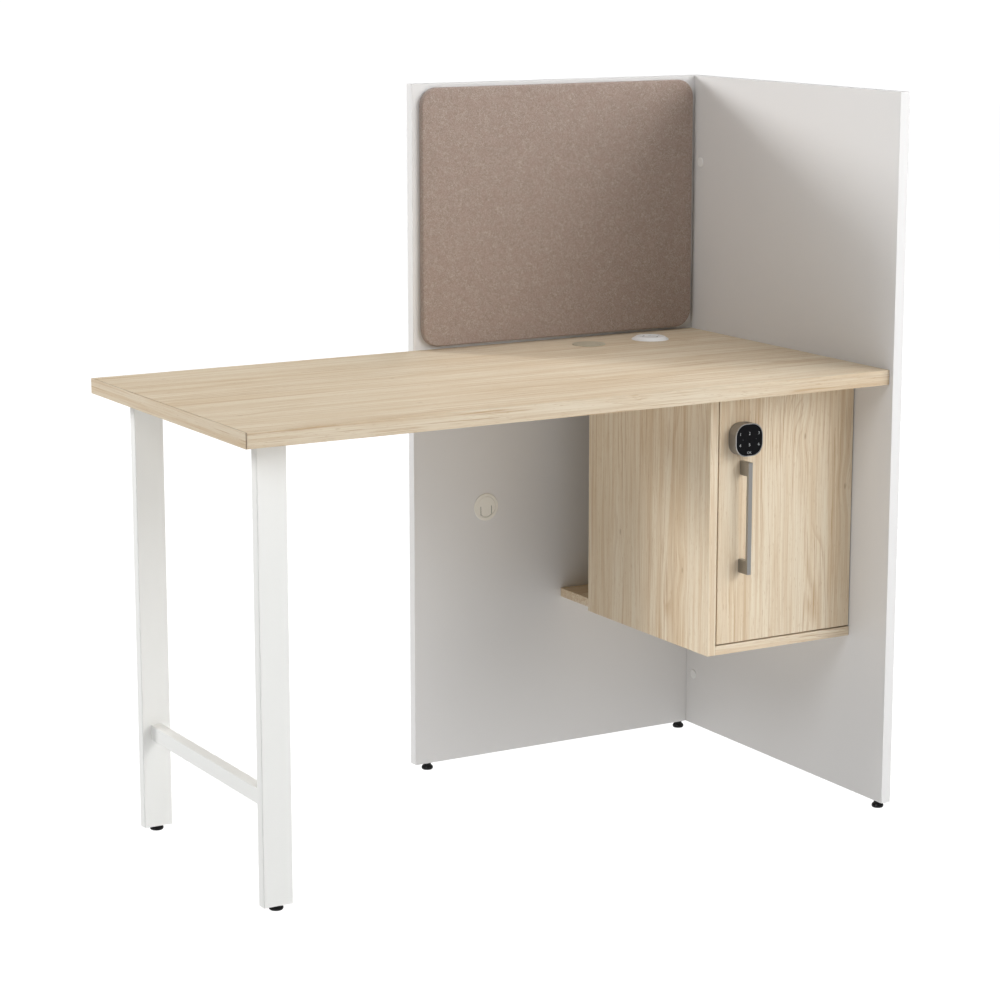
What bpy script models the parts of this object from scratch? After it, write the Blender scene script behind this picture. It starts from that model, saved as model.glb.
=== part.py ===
"""Study carrel: a corner of two screen panels, a worksurface on a welded leg frame, and a locker.

Frame: metres, +Z up. +X runs along the worksurface towards the side panel, and +Y runs from
the user's seat towards the back panel. The origin is on the floor, under the middle of the
whole object's box. Most places below are given from the corner line, where the inner faces of
the two screen panels meet: x is negative to the left of it and y is negative in front of it.
"""

import math

import bmesh
import bpy
from mathutils import Matrix, Vector

# ---------------------------------------------------------------- driving dimensions
GAP = 0.0003                 # clearance kept between pieces that touch

PANEL_T = 0.019              # screen panels
PANEL_W = 0.6096             # width of the back panel, and depth of the side panel
PANEL_LIFT = 0.0127          # height of the panels' lower edges on their glides
PANEL_TOP = 1.2416

DESK_L = 1.200
DESK_D = 0.600
DESK_T = 0.0254
DESK_TOP = 0.7747
DESK_UNDER = DESK_TOP - DESK_T
BAND_T = 0.002               # edge band

LEG_W = 0.0508               # leg tube along X
LEG_D = 0.019                # leg tube along Y
LEG_WALL = 0.0015
LEG_LIFT = 0.0076
LEG_LEFT = -1.156            # outer faces of the two legs
LEG_FRONT = -0.5428
LEG_BACK = -0.0574
PLATE_T = 0.003
STRETCHER_W = 0.0203
STRETCHER_Z = (0.1613, 0.1875)

LOCKER_T = 0.016             # locker boards
LOCKER_LEFT = -0.2993
LOCKER_FRONT = -0.505
LOCKER_BACK = -0.122
LOCKER_FLOOR = 0.2922
DOOR_SIDE_GAP = 0.0024
DOOR_HINGE_GAP = 0.0018
DOOR_END_GAP = 0.0026

PULL_X = (-0.2390, -0.2310)
PULL_Z = (0.4330, 0.6261)
PULL_OUT = 0.027
LOCK_X = -0.2358
LOCK_Z = 0.6647
LOCK_SIZE = (0.0550, 0.0560)
LOCK_OUT = 0.0225

BOARD_LEFT = -0.577          # tackboard
BOARD_RIGHT = -0.009
BOARD_LOW = 0.7804
BOARD_HIGH = 1.2350
BOARD_T = 0.0127
BOARD_RADIUS = 0.032

DESK_PORT = (-0.281, -0.090)
POWER_PORT = (-0.150, -0.090)
PANEL_PORT = (-0.4429, 0.4777)

GLIDES = {                   # panel glides: place from the corner line
    "left": (-0.5616, PANEL_T / 2),
    "corner": (-0.0110, PANEL_T / 2),
    "front": (PANEL_T / 2, -0.5870),
}
CONNECTOR_Z = {"upper": 1.0844, "lower": 0.1108}
CONNECTOR_Y = -0.0248
HINGE_Z = {"upper": 0.680, "lower": 0.375}

GLIDE_R = 0.0105             # foot of a panel glide, a little wider than the panel

# The corner line, placed so that the object's box is centred on the origin.
CORNER_X = (DESK_L - PANEL_T / 2 - GLIDE_R) / 2
CORNER_Y = (PANEL_W - PANEL_T / 2 - GLIDE_R) / 2

for old in list(bpy.data.objects):
    bpy.data.objects.remove(old, do_unlink=True)

PARTS = bpy.data.collections.new("study_carrel")
CUTTERS = bpy.data.collections.new("cutters")
CUTTERS.hide_render = True
for group in (PARTS, CUTTERS):
    bpy.context.scene.collection.children.link(group)


# ---------------------------------------------------------------- materials
def material(name, color, roughness, metallic=0.0):
    made = bpy.data.materials.new(name)
    made.use_nodes = True
    shader = made.node_tree.nodes["Principled BSDF"]
    shader.inputs["Base Color"].default_value = (*color, 1.0)
    shader.inputs["Roughness"].default_value = roughness
    shader.inputs["Metallic"].default_value = metallic
    made.diffuse_color = (*color, 1.0)
    return made


WHITE_BOARD = material("white_laminate", (0.80, 0.79, 0.77), 0.45)
WOOD_BOARD = material("wood_laminate", (0.66, 0.54, 0.40), 0.45)
FRAME_PAINT = material("frame_paint", (0.82, 0.82, 0.79), 0.40)
BLACK_PLASTIC = material("black_plastic", (0.012, 0.012, 0.012), 0.35)
FELT = material("felt", (0.32, 0.25, 0.21), 0.95)
FIBREBOARD = material("fibreboard", (0.45, 0.36, 0.26), 0.85)
STEEL = material("zinc_steel", (0.62, 0.62, 0.60), 0.35, 1.0)
NICKEL = material("brushed_nickel", (0.55, 0.53, 0.50), 0.32, 1.0)
KEY_GLASS = material("keypad_black", (0.006, 0.006, 0.007), 0.12)
CREAM_PLASTIC = material("cream_plastic", (0.60, 0.57, 0.47), 0.45)
WHITE_PLASTIC = material("white_plastic", (0.80, 0.80, 0.78), 0.35)


# ---------------------------------------------------------------- modelling helpers
SLAB_SEGMENTS = 8            # round each corner of a slab
MERGE = 0.00001              # points closer than this are one point
EASED = 0.0005               # edge of a board, and the other edges by their piece
SHEET_EDGE = 0.0003
MOULDED_EDGE = 0.0008
CASE_EDGE = 0.0015
METAL_EDGE = 0.0006
GLASS_EDGE = 0.0004
ARM_EDGE = 0.001
OVERLAP = 0.001              # how far a cutter runs past the face it opens
END_ROOM = 0.0005            # room past the end of a piece in a blind hole


def corner(x, y, z):
    """A place given from the corner line, in world coordinates."""
    return Vector((CORNER_X + x, CORNER_Y + y, z))


def finish(obj, name, mat):
    """Names the object and its mesh, gives it its material and files it with the parts."""
    obj.name = name
    obj.data.name = name
    obj.data.materials.clear()
    obj.data.materials.append(mat)
    file_in(obj, PARTS)
    return obj


def file_in(obj, group):
    for used in list(obj.users_collection):
        used.objects.unlink(obj)
    group.objects.link(obj)


def bevel(obj, width, segments=2, angle=30.0):
    mod = obj.modifiers.new("bevel", "BEVEL")
    mod.width = width
    mod.segments = segments
    mod.limit_method = "ANGLE"
    mod.angle_limit = math.radians(angle)
    mod.use_clamp_overlap = True


def cube(low, high):
    """A box between two corners given from the corner line."""
    low, high = corner(*low), corner(*high)
    bpy.ops.mesh.primitive_cube_add(size=1.0, location=(low + high) / 2)
    obj = bpy.context.object
    obj.data.transform(Matrix.Diagonal((*(high - low), 1.0)))
    return obj


def board(name, low, high, mat, edge=EASED, segments=2):
    obj = finish(cube(low, high), name, mat)
    if edge:
        bevel(obj, edge, segments)
    return obj


TURN = {
    "z": Matrix.Identity(4),
    "y": Matrix.Rotation(math.radians(-90), 4, "X"),
    "-y": Matrix.Rotation(math.radians(90), 4, "X"),
    "x": Matrix.Rotation(math.radians(90), 4, "Y"),
    "-x": Matrix.Rotation(math.radians(-90), 4, "Y"),
}


def rod(base, axis, radius, length, sides=24):
    """A cylinder that starts at base and runs along axis."""
    bpy.ops.mesh.primitive_cylinder_add(vertices=sides, radius=radius, depth=length)
    obj = bpy.context.object
    obj.data.transform(Matrix.Translation((0.0, 0.0, length / 2)))
    obj.matrix_world = Matrix.Translation(corner(*base)) @ TURN[axis]
    return obj


def turned(base, axis, profile, steps=32):
    """A turned shape: the profile is (radius, height) pairs, from top to bottom on the outside."""
    mesh = bpy.data.meshes.new("turned")
    edit = bmesh.new()
    closed = profile[0] == profile[-1]
    points = profile[:-1] if closed else profile
    verts = [edit.verts.new((radius, 0.0, height)) for radius, height in points]
    ends = verts[1:] + verts[:1] if closed else verts[1:]
    for first, second in zip(verts, ends):
        edit.edges.new((first, second))
    edit.to_mesh(mesh)
    edit.free()
    obj = bpy.data.objects.new("turned", mesh)
    PARTS.objects.link(obj)
    obj.matrix_world = Matrix.Translation(corner(*base)) @ TURN[axis]
    screw = obj.modifiers.new("screw", "SCREW")
    screw.axis = "Z"
    screw.steps = steps
    screw.render_steps = steps
    screw.use_merge_vertices = True
    screw.merge_threshold = MERGE
    return obj


def rounded_slab(size, radius, depth, base, axis):
    """A slab with rounded corners: its outline lies across axis and it runs depth along it."""
    bpy.ops.mesh.primitive_cube_add(size=1.0)
    obj = bpy.context.object
    obj.data.transform(Matrix.Translation((0.0, 0.0, 0.5)))
    obj.data.transform(Matrix.Diagonal((*size, depth, 1.0)))
    edit = bmesh.new()
    edit.from_mesh(obj.data)
    upright = [edge for edge in edit.edges if all(face.normal.z == 0.0 for face in edge.link_faces)]
    bmesh.ops.bevel(edit, geom=upright, offset=radius, segments=SLAB_SEGMENTS, profile=0.5,
                    affect="EDGES")
    edit.to_mesh(obj.data)
    edit.free()
    obj.matrix_world = Matrix.Translation(corner(*base)) @ TURN[axis]
    return obj


def as_cutter(obj):
    obj.name = f"cutter_{len(CUTTERS.objects):02d}"
    obj.hide_render = True
    obj.display_type = "WIRE"
    file_in(obj, CUTTERS)
    return obj


def boolean(obj, tool, operation):
    mod = obj.modifiers.new(operation.lower(), "BOOLEAN")
    mod.operation = operation
    mod.solver = "EXACT"
    mod.object = as_cutter(tool)


def cut(obj, *tools):
    for tool in tools:
        boolean(obj, tool, "DIFFERENCE")


def add(obj, *tools):
    for tool in tools:
        boolean(obj, tool, "UNION")


def smooth(obj, angle=35.0):
    obj.data.shade_smooth()
    obj.data.set_sharp_from_angle(angle=math.radians(angle))


def pivot(name, place):
    """An empty on a joint's axis, which the moving pieces are parented to."""
    empty = bpy.data.objects.new(name, None)
    empty.empty_display_size = 0.03
    empty.location = place
    PARTS.objects.link(empty)
    bpy.context.view_layer.update()
    return empty


def ride(empty, *pieces):
    for piece in pieces:
        piece.parent = empty
        piece.matrix_parent_inverse = empty.matrix_world.inverted()


# ---------------------------------------------------------------- screen panels
GLIDE_BUSH_R = 0.0055
GLIDE_BUSH_L = 0.022
GLIDE_THREAD_R = 0.0034
CAM_R = 0.0075
CAM_L = 0.0125
CAM_SET_IN = 0.0006          # how deep the cam lies under the panel's face
BOLT_R = 0.0035
BOLT_IN_PANEL = 0.0110       # reach of a cam bolt into the back panel
BOLT_IN_CAM = 0.0015
# A cover cap from its face to its rim: radius, and height off the panel.
CAM_CAP = [(0.0, 0.0012), (0.0078, 0.0012), (0.0086, 0.0006), (0.0088, 0.0), (0.0, 0.0)]
PORT_SLEEVE_R = 0.0210
DESK_SLEEVE_R = 0.0265
POWER_SLEEVE_R = 0.0295


def glide_hole(name):
    x, y = GLIDES[name]
    depth = GLIDE_BUSH_L + END_ROOM
    return rod((x, y, PANEL_LIFT - OVERLAP), "z", GLIDE_BUSH_R + GAP, depth + OVERLAP)


def back_panel():
    low = (PANEL_T - PANEL_W, 0.0, PANEL_LIFT)
    high = (PANEL_T, PANEL_T, PANEL_TOP)
    panel = board("back_panel", low, high, WHITE_BOARD)
    through = PANEL_T + 2 * OVERLAP
    port = rod((PANEL_PORT[0], -OVERLAP, PANEL_PORT[1]), "y", PORT_SLEEVE_R + GAP, through, 40)
    cut(panel, port, glide_hole("left"), glide_hole("corner"))
    for height in CONNECTOR_Z.values():
        depth = BOLT_IN_PANEL + END_ROOM
        cut(panel, rod((PANEL_T / 2, -OVERLAP, height), "y", BOLT_R + GAP, depth + OVERLAP, 16))


def side_panel():
    low = (0.0, -PANEL_W, PANEL_LIFT)
    high = (PANEL_T, -GAP, PANEL_TOP)
    panel = board("side_panel", low, high, WHITE_BOARD)
    cut(panel, glide_hole("front"))
    for height in CONNECTOR_Z.values():
        depth = CAM_L + END_ROOM
        cam = rod((-OVERLAP, CONNECTOR_Y, height), "x", CAM_R + GAP, depth + OVERLAP, 32)
        bore = rod((PANEL_T / 2, OVERLAP, height), "-y", BOLT_R + GAP, -CONNECTOR_Y, 16)
        cut(panel, cam, bore)


def connectors():
    """Cam connectors: a bolt in the back panel, gripped by a turned cam under a cover cap."""
    for name, height in CONNECTOR_Z.items():
        cam = finish(rod((CAM_SET_IN, CONNECTOR_Y, height), "x", CAM_R, CAM_L - CAM_SET_IN, 32),
                     f"cam_{name}", STEEL)
        tip = CONNECTOR_Y - BOLT_IN_CAM
        throat = rod((PANEL_T / 2, tip - END_ROOM, height), "y", BOLT_R + GAP, CAM_R * 1.6, 16)
        cut(cam, throat)
        bolt = finish(rod((PANEL_T / 2, tip, height), "y", BOLT_R, BOLT_IN_PANEL - CONNECTOR_Y, 16),
                      f"cam_bolt_{name}", STEEL)
        smooth(bolt)
        cap = turned((-GAP, CONNECTOR_Y, height), "-x", CAM_CAP)
        finish(cap, f"cam_cap_{name}", WHITE_PLASTIC)


# A panel glide from its stem down to its foot: radius and height above the floor.
PANEL_FOOT = [
    (0.0, 0.0325), (0.0030, 0.0325), (0.0030, 0.0122), (0.0066, 0.0122), (0.0070, 0.0082),
    (0.0096, 0.0060), (GLIDE_R, 0.0040), (GLIDE_R, 0.0018), (0.0095, 0.0), (0.0, 0.0),
]


def panel_glides():
    """A bush in the panel's lower edge, and the foot whose stem screws into it."""
    for name, (x, y) in GLIDES.items():
        bush = turned((x, y, PANEL_LIFT), "z", [
            (GLIDE_THREAD_R, GLIDE_BUSH_L), (GLIDE_BUSH_R, GLIDE_BUSH_L), (GLIDE_BUSH_R, 0.0),
            (GLIDE_THREAD_R, 0.0), (GLIDE_THREAD_R, GLIDE_BUSH_L)], 24)
        finish(bush, f"panel_bush_{name}", STEEL)
        foot = turned((x, y, 0.0), "z", PANEL_FOOT, 24)
        smooth(finish(foot, f"panel_glide_{name}", BLACK_PLASTIC))
        ride(pivot(f"panel_glide_{name}_screw", corner(x, y, 0.0)), foot)


# ---------------------------------------------------------------- worksurface
def desktop():
    low = (BAND_T + GAP - DESK_L, BAND_T + GAP - DESK_D, DESK_UNDER)
    high = (-GAP, -BAND_T - 2 * GAP, DESK_TOP)
    top = board("desktop", low, high, WOOD_BOARD, SHEET_EDGE, 1)
    for (x, y), radius in ((DESK_PORT, DESK_SLEEVE_R), (POWER_PORT, POWER_SLEEVE_R)):
        cut(top, rod((x, y, DESK_UNDER - OVERLAP), "z", radius + GAP, DESK_T + 2 * OVERLAP, 48))


def edge_bands():
    left = -DESK_L
    inner = left + BAND_T + GAP
    front = -DESK_D
    board("desktop_left_band", (left, front, DESK_UNDER), (left + BAND_T, -GAP, DESK_TOP), WOOD_BOARD)
    board("desktop_front_band", (inner, front, DESK_UNDER), (-GAP, front + BAND_T, DESK_TOP), WOOD_BOARD)
    board("desktop_rear_band", (inner, -BAND_T - GAP, DESK_UNDER), (-GAP, -GAP, DESK_TOP), WOOD_BOARD)


BRACKET_REACH = 0.030        # length of each flange
BRACKET_W = 0.040
BRACKET_T = 0.0025
BRACKET_LEFT = {"left": -0.540, "right": -0.345}
BRACKET_HOLE_R = 0.0022
BRACKET_HOLE_OUT = 0.018     # distance of the holes from the bend


def desk_brackets():
    """Steel angles that hang the worksurface's rear edge on the back panel."""
    top = DESK_UNDER - GAP
    drill = BRACKET_T + 2 * OVERLAP
    for name, x in BRACKET_LEFT.items():
        bracket = board(f"desk_bracket_{name}", (x, -BRACKET_REACH, top - BRACKET_T),
                        (x + BRACKET_W, -GAP, top), STEEL, 0)
        add(bracket, cube((x, -BRACKET_T - GAP, top - BRACKET_REACH),
                          (x + BRACKET_W, -GAP, top - BRACKET_T / 2)))
        for share in (0.25, 0.75):
            hole_x = x + BRACKET_W * share
            cut(bracket,
                rod((hole_x, -BRACKET_HOLE_OUT, top - BRACKET_T - OVERLAP), "z", BRACKET_HOLE_R, drill, 12),
                rod((hole_x, -BRACKET_T - OVERLAP, top - BRACKET_HOLE_OUT), "y", BRACKET_HOLE_R, drill, 12))


# ---------------------------------------------------------------- leg frame
TUBE_EDGE = 0.0016           # outside radius of a tube's corners


def tube(name, low, high, along, edge=TUBE_EDGE):
    """A rectangular tube, open at both ends, with the wall inside its outline."""
    obj = finish(cube(low, high), name, FRAME_PAINT)
    edit = bmesh.new()
    edit.from_mesh(obj.data)
    ends = [face for face in edit.faces if abs(face.normal[along]) > 0.9]
    bmesh.ops.delete(edit, geom=ends, context="FACES_ONLY")
    corners = [edge for edge in edit.edges if not edge.is_boundary]
    bmesh.ops.bevel(edit, geom=corners, offset=edge, segments=3, profile=0.5, affect="EDGES")
    edit.to_mesh(obj.data)
    edit.free()
    wall = obj.modifiers.new("wall", "SOLIDIFY")
    wall.thickness = LEG_WALL
    wall.offset = -1.0
    smooth(obj)
    return obj


def leg_y(name):
    """The front face and the back face of a leg."""
    return (LEG_FRONT, LEG_FRONT + LEG_D) if name == "front" else (LEG_BACK - LEG_D, LEG_BACK)


LEG_PLATE = (0.090, 0.060)   # along X and along Y
LEG_PLATE_HOLE_IN = 0.012    # distance of the screw holes from the plate's edges
LEG_PLATE_HOLE_R = 0.0026


def leg_frame():
    top = DESK_UNDER - PLATE_T - 2 * GAP
    plate_w, plate_d = LEG_PLATE
    hole_x = LEG_LEFT + plate_w - LEG_PLATE_HOLE_IN
    for name in ("front", "rear"):
        near, far = leg_y(name)
        tube(f"{name}_leg_tube", (LEG_LEFT, near, LEG_LIFT), (LEG_LEFT + LEG_W, far, top), 2)
        first = near if name == "front" else far - plate_d
        plate = board(f"{name}_leg_plate", (LEG_LEFT, first, top + GAP),
                      (LEG_LEFT + plate_w, first + plate_d, DESK_UNDER - GAP), FRAME_PAINT, 0)
        for hole_y in (first + LEG_PLATE_HOLE_IN, first + plate_d - LEG_PLATE_HOLE_IN):
            cut(plate, rod((hole_x, hole_y, top - OVERLAP), "z", LEG_PLATE_HOLE_R, 2 * PLATE_T, 12))
    left = LEG_LEFT + (LEG_W - STRETCHER_W) / 2
    tube("leg_stretcher", (left, leg_y("front")[1] + GAP, STRETCHER_Z[0]),
         (left + STRETCHER_W, leg_y("rear")[0] - GAP, STRETCHER_Z[1]), 1)


PLUG_H = 0.024
PLUG_THREAD_R = 0.0044
# A leg glide from its stem down to its foot: radius and height above the floor.
LEG_FOOT = [
    (0.0, 0.0300), (0.0040, 0.0300), (0.0040, 0.0073), (0.0085, 0.0073), (0.0110, 0.0058),
    (0.0118, 0.0036), (0.0116, 0.0014), (0.0106, 0.0), (0.0, 0.0),
]


def leg_feet():
    """The threaded plug that closes each leg, and the levelling glide in it."""
    for name in ("front", "rear"):
        near, far = leg_y(name)
        x, y = LEG_LEFT + LEG_W / 2, (near + far) / 2
        inset = LEG_WALL + GAP
        plug = board(f"{name}_leg_plug", (LEG_LEFT + inset, near + inset, LEG_LIFT + END_ROOM),
                     (LEG_LEFT + LEG_W - inset, far - inset, LEG_LIFT + PLUG_H), BLACK_PLASTIC,
                     MOULDED_EDGE, 1)
        cut(plug, rod((x, y, LEG_LIFT - OVERLAP), "z", PLUG_THREAD_R, PLUG_H + 2 * OVERLAP, 20))
        foot = turned((x, y, 0.0), "z", LEG_FOOT, 24)
        smooth(finish(foot, f"{name}_leg_glide", BLACK_PLASTIC))
        ride(pivot(f"{name}_leg_glide_screw", corner(x, y, 0.0)), foot)


# ---------------------------------------------------------------- tackboard
STRIP_T = 0.0012             # hook-and-loop strips behind the board
STRIP_W = 0.040
STRIP_LEFT = {"left": -0.500, "right": -0.126}
STRIP_Z = (0.830, 1.185)
COVER_T = 0.0014
COVER_EDGE = 0.0012


def board_slab(inset, front, back):
    """The tackboard's outline, drawn in by inset, between two distances in front of the panel."""
    size = (BOARD_RIGHT - BOARD_LEFT - 2 * inset, BOARD_HIGH - BOARD_LOW - 2 * inset)
    middle = ((BOARD_LEFT + BOARD_RIGHT) / 2, -back, (BOARD_LOW + BOARD_HIGH) / 2)
    return rounded_slab(size, BOARD_RADIUS - inset, front - back, middle, "-y")


def tackboard():
    back = STRIP_T + 2 * GAP
    core = finish(board_slab(COVER_T + GAP, BOARD_T - COVER_T - GAP, back), "tackboard_core", FIBREBOARD)
    smooth(core)
    cover = finish(board_slab(0.0, BOARD_T, back), "tackboard_cover", FELT)
    bevel(cover, COVER_EDGE, 2, 50.0)
    cut(cover, board_slab(COVER_T, BOARD_T - COVER_T, 0.0))
    for name, x in STRIP_LEFT.items():
        board(f"tackboard_strip_{name}", (x, -GAP - STRIP_T, STRIP_Z[0]), (x + STRIP_W, -GAP, STRIP_Z[1]),
              BLACK_PLASTIC, 0)


# ---------------------------------------------------------------- locker
LOCKER_INNER = LOCKER_LEFT + LOCKER_T
DOOR_LEFT = LOCKER_INNER + DOOR_SIDE_GAP
DOOR_RIGHT = -DOOR_HINGE_GAP
DOOR_BACK = LOCKER_FRONT + LOCKER_T
DOOR_LOW = LOCKER_FLOOR + LOCKER_T + DOOR_END_GAP
DOOR_HIGH = DESK_UNDER - DOOR_END_GAP
CUP_R = 0.0172
CUP_X = DOOR_RIGHT - 0.0225
CUP_DEPTH = 0.0110
BOLT_Y = DOOR_BACK + 0.0120
BOLT_SIZE = (0.0080, 0.0140)      # along Y and along Z
BOLT_LENGTH = 0.0400
CASE_X = (-0.2735, -0.2055)
CASE_Z = (0.6200, 0.7200)
CASE_DEPTH = 0.0250
CASE_WALL = 0.0018
SPINDLE_R = 0.0080
LID_T = 0.0022
PULL_MIDDLE = sum(PULL_X) / 2
PULL_SCREW_IN = 0.012        # distance of the pull's screws from its ends
PULL_SCREW_THREAD = 0.0105   # how deep they go into its posts
PULL_BAR_T = 0.0056
PULL_POST_H = 0.0235
SCREW_HOLE_R = 0.0023
STRIKE_T = 0.0015
STRIKE_HALF = (0.0080, 0.0260)    # along Y and along Z
STRIKE_POCKET = 0.010        # depth of the bolt's pocket in the locker side
STOP_SIZE = (0.012, 0.010)   # door stop, along X and along Y
STOP_Z = (0.330, 0.360)


def on_bolt(x_range, half_y, half_z):
    """A box round the line that the lock bolt slides on."""
    low = (x_range[0], BOLT_Y - half_y, LOCK_Z - half_z)
    return cube(low, (x_range[1], BOLT_Y + half_y, LOCK_Z + half_z))


def locker_boards():
    top = DESK_UNDER - GAP
    side = board("locker_side", (LOCKER_LEFT, LOCKER_FRONT, LOCKER_FLOOR),
                 (LOCKER_INNER, LOCKER_BACK, top), WOOD_BOARD)
    hole = [side_length / 2 + STRIKE_T for side_length in BOLT_SIZE]
    seat = [half + GAP for half in STRIKE_HALF]
    cut(side, on_bolt((LOCKER_INNER - STRIKE_POCKET, LOCKER_INNER + OVERLAP), *hole),
        on_bolt((LOCKER_INNER - STRIKE_T - GAP, LOCKER_INNER + OVERLAP), *seat))
    strike = finish(on_bolt((LOCKER_INNER - STRIKE_T, LOCKER_INNER), *STRIKE_HALF), "strike_plate",
                    STEEL)
    cut(strike, on_bolt((LOCKER_INNER - 2 * STRIKE_T, LOCKER_INNER + OVERLAP), *hole))
    floor_top = LOCKER_FLOOR + LOCKER_T
    board("locker_bottom", (LOCKER_INNER + GAP, LOCKER_FRONT, LOCKER_FLOOR), (-GAP, -GAP, floor_top),
          WOOD_BOARD)
    board("locker_back", (LOCKER_INNER + GAP, LOCKER_BACK - LOCKER_T, floor_top + GAP),
          (-GAP, LOCKER_BACK, top), WOOD_BOARD)
    board("door_stop", (LOCKER_INNER + GAP, DOOR_BACK + GAP, STOP_Z[0]),
          (LOCKER_INNER + STOP_SIZE[0], DOOR_BACK + STOP_SIZE[1], STOP_Z[1]), BLACK_PLASTIC,
          MOULDED_EDGE, 1)


def pull_screw_heights():
    return {"lower": PULL_Z[0] + PULL_SCREW_IN, "upper": PULL_Z[1] - PULL_SCREW_IN}


def locker_door(hinge):
    door = board("locker_door", (DOOR_LEFT, LOCKER_FRONT, DOOR_LOW), (DOOR_RIGHT, DOOR_BACK, DOOR_HIGH),
                 WOOD_BOARD)
    ahead, through = LOCKER_FRONT - OVERLAP, LOCKER_T + 2 * OVERLAP
    for height in HINGE_Z.values():
        depth = CUP_DEPTH + GAP
        cut(door, rod((CUP_X, DOOR_BACK + OVERLAP, height), "-y", CUP_R + GAP, depth + OVERLAP, 32))
    for height in pull_screw_heights().values():
        cut(door, rod((PULL_MIDDLE, ahead, height), "y", SCREW_HOLE_R, through, 12))
    cut(door, rod((LOCK_X, ahead, LOCK_Z), "y", SPINDLE_R, through, 20))
    ride(hinge, door)


CUP_WALL = 0.0015
CUP_FLANGE_T = 0.0011        # the flange lies on the door's back
CUP_FLANGE = (0.0115, 0.026)      # half its size along X and along Z
HINGE_PLATE_T = 0.003
HINGE_PLATE_Y = (DOOR_BACK + 0.018, DOOR_BACK + 0.062)
HINGE_PLATE_HALF = 0.022     # half its height
ARM_LEFT = -0.0150
ARM_FRONT = DOOR_BACK + 0.0035
ARM_BACK = DOOR_BACK + 0.058
ARM_HALF = 0.008
KNUCKLE_X = (-0.0300, -0.0145)    # the arm's narrow end, which reaches into the cup
KNUCKLE_Y = (DOOR_BACK - 0.0030, DOOR_BACK + 0.0075)
KNUCKLE_HALF = 0.006


def concealed_hinges(hinge):
    """A cup in the door, and an arm on a plate fixed to the side panel."""
    face = DOOR_BACK + CUP_FLANGE_T
    plate_left = -GAP - HINGE_PLATE_T
    for name, z in HINGE_Z.items():
        cup = finish(rod((CUP_X, face, z), "-y", CUP_R, CUP_DEPTH + CUP_FLANGE_T, 32),
                     f"hinge_cup_{name}", STEEL)
        add(cup, cube((CUP_X - CUP_FLANGE[0], DOOR_BACK + GAP, z - CUP_FLANGE[1]),
                      (CUP_X + CUP_FLANGE[0], face + GAP, z + CUP_FLANGE[1])))
        inside = CUP_DEPTH + CUP_FLANGE_T - CUP_WALL
        cut(cup, rod((CUP_X, face + OVERLAP, z), "-y", CUP_R - CUP_WALL, inside + OVERLAP, 32))
        ride(hinge, cup)
        board(f"hinge_plate_{name}", (plate_left, HINGE_PLATE_Y[0], z - HINGE_PLATE_HALF),
              (-GAP, HINGE_PLATE_Y[1], z + HINGE_PLATE_HALF), STEEL, 0)
        arm = board(f"hinge_arm_{name}", (ARM_LEFT, ARM_FRONT, z - ARM_HALF),
                    (plate_left - GAP, ARM_BACK, z + ARM_HALF), STEEL, ARM_EDGE, 1)
        add(arm, cube((KNUCKLE_X[0], KNUCKLE_Y[0], z - KNUCKLE_HALF),
                      (KNUCKLE_X[1], KNUCKLE_Y[1], z + KNUCKLE_HALF)))


# A pull screw from its head to its tip: radius, and height off the door's back.
PULL_SCREW = [
    (0.0, 0.0024), (0.0034, 0.0024), (0.0040, 0.0016), (0.0040, 0.0), (0.0020, 0.0),
    (0.0020, -0.0255), (0.0, -0.0255),
]


def door_pull(hinge):
    """A flat bar pull with two posts, and the screws that hold it from inside the door."""
    front, back = LOCKER_FRONT - PULL_OUT, LOCKER_FRONT - GAP
    pull = board("door_pull", (PULL_X[0], front, PULL_Z[0]), (PULL_X[1], back, PULL_Z[1]), NICKEL)
    cut(pull, cube((PULL_X[0] - OVERLAP, front + PULL_BAR_T, PULL_Z[0] + PULL_POST_H),
                   (PULL_X[1] + OVERLAP, back + OVERLAP, PULL_Z[1] - PULL_POST_H)))
    ride(hinge, pull)
    for name, z in pull_screw_heights().items():
        depth = PULL_SCREW_THREAD + OVERLAP
        cut(pull, rod((PULL_MIDDLE, back + OVERLAP, z), "-y", SCREW_HOLE_R, depth, 12))
        screw = turned((PULL_MIDDLE, DOOR_BACK + GAP, z), "y", PULL_SCREW, 16)
        ride(hinge, finish(screw, f"pull_screw_{name}", STEEL))


LOCK_RADIUS = 0.0215
LOCK_RECESS = 0.0020         # how deep the keypad's plate is let into the case
LOCK_RIM = 0.0013
GLASS_T = 0.0022
LOCK_SLOT_HALF = 0.0045      # the emergency key slot in the case's top
LOCK_SLOT_Y = (LOCKER_FRONT - 0.0150, LOCKER_FRONT - 0.0110)
LOCK_SLOT_DEPTH = 0.0030


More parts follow.
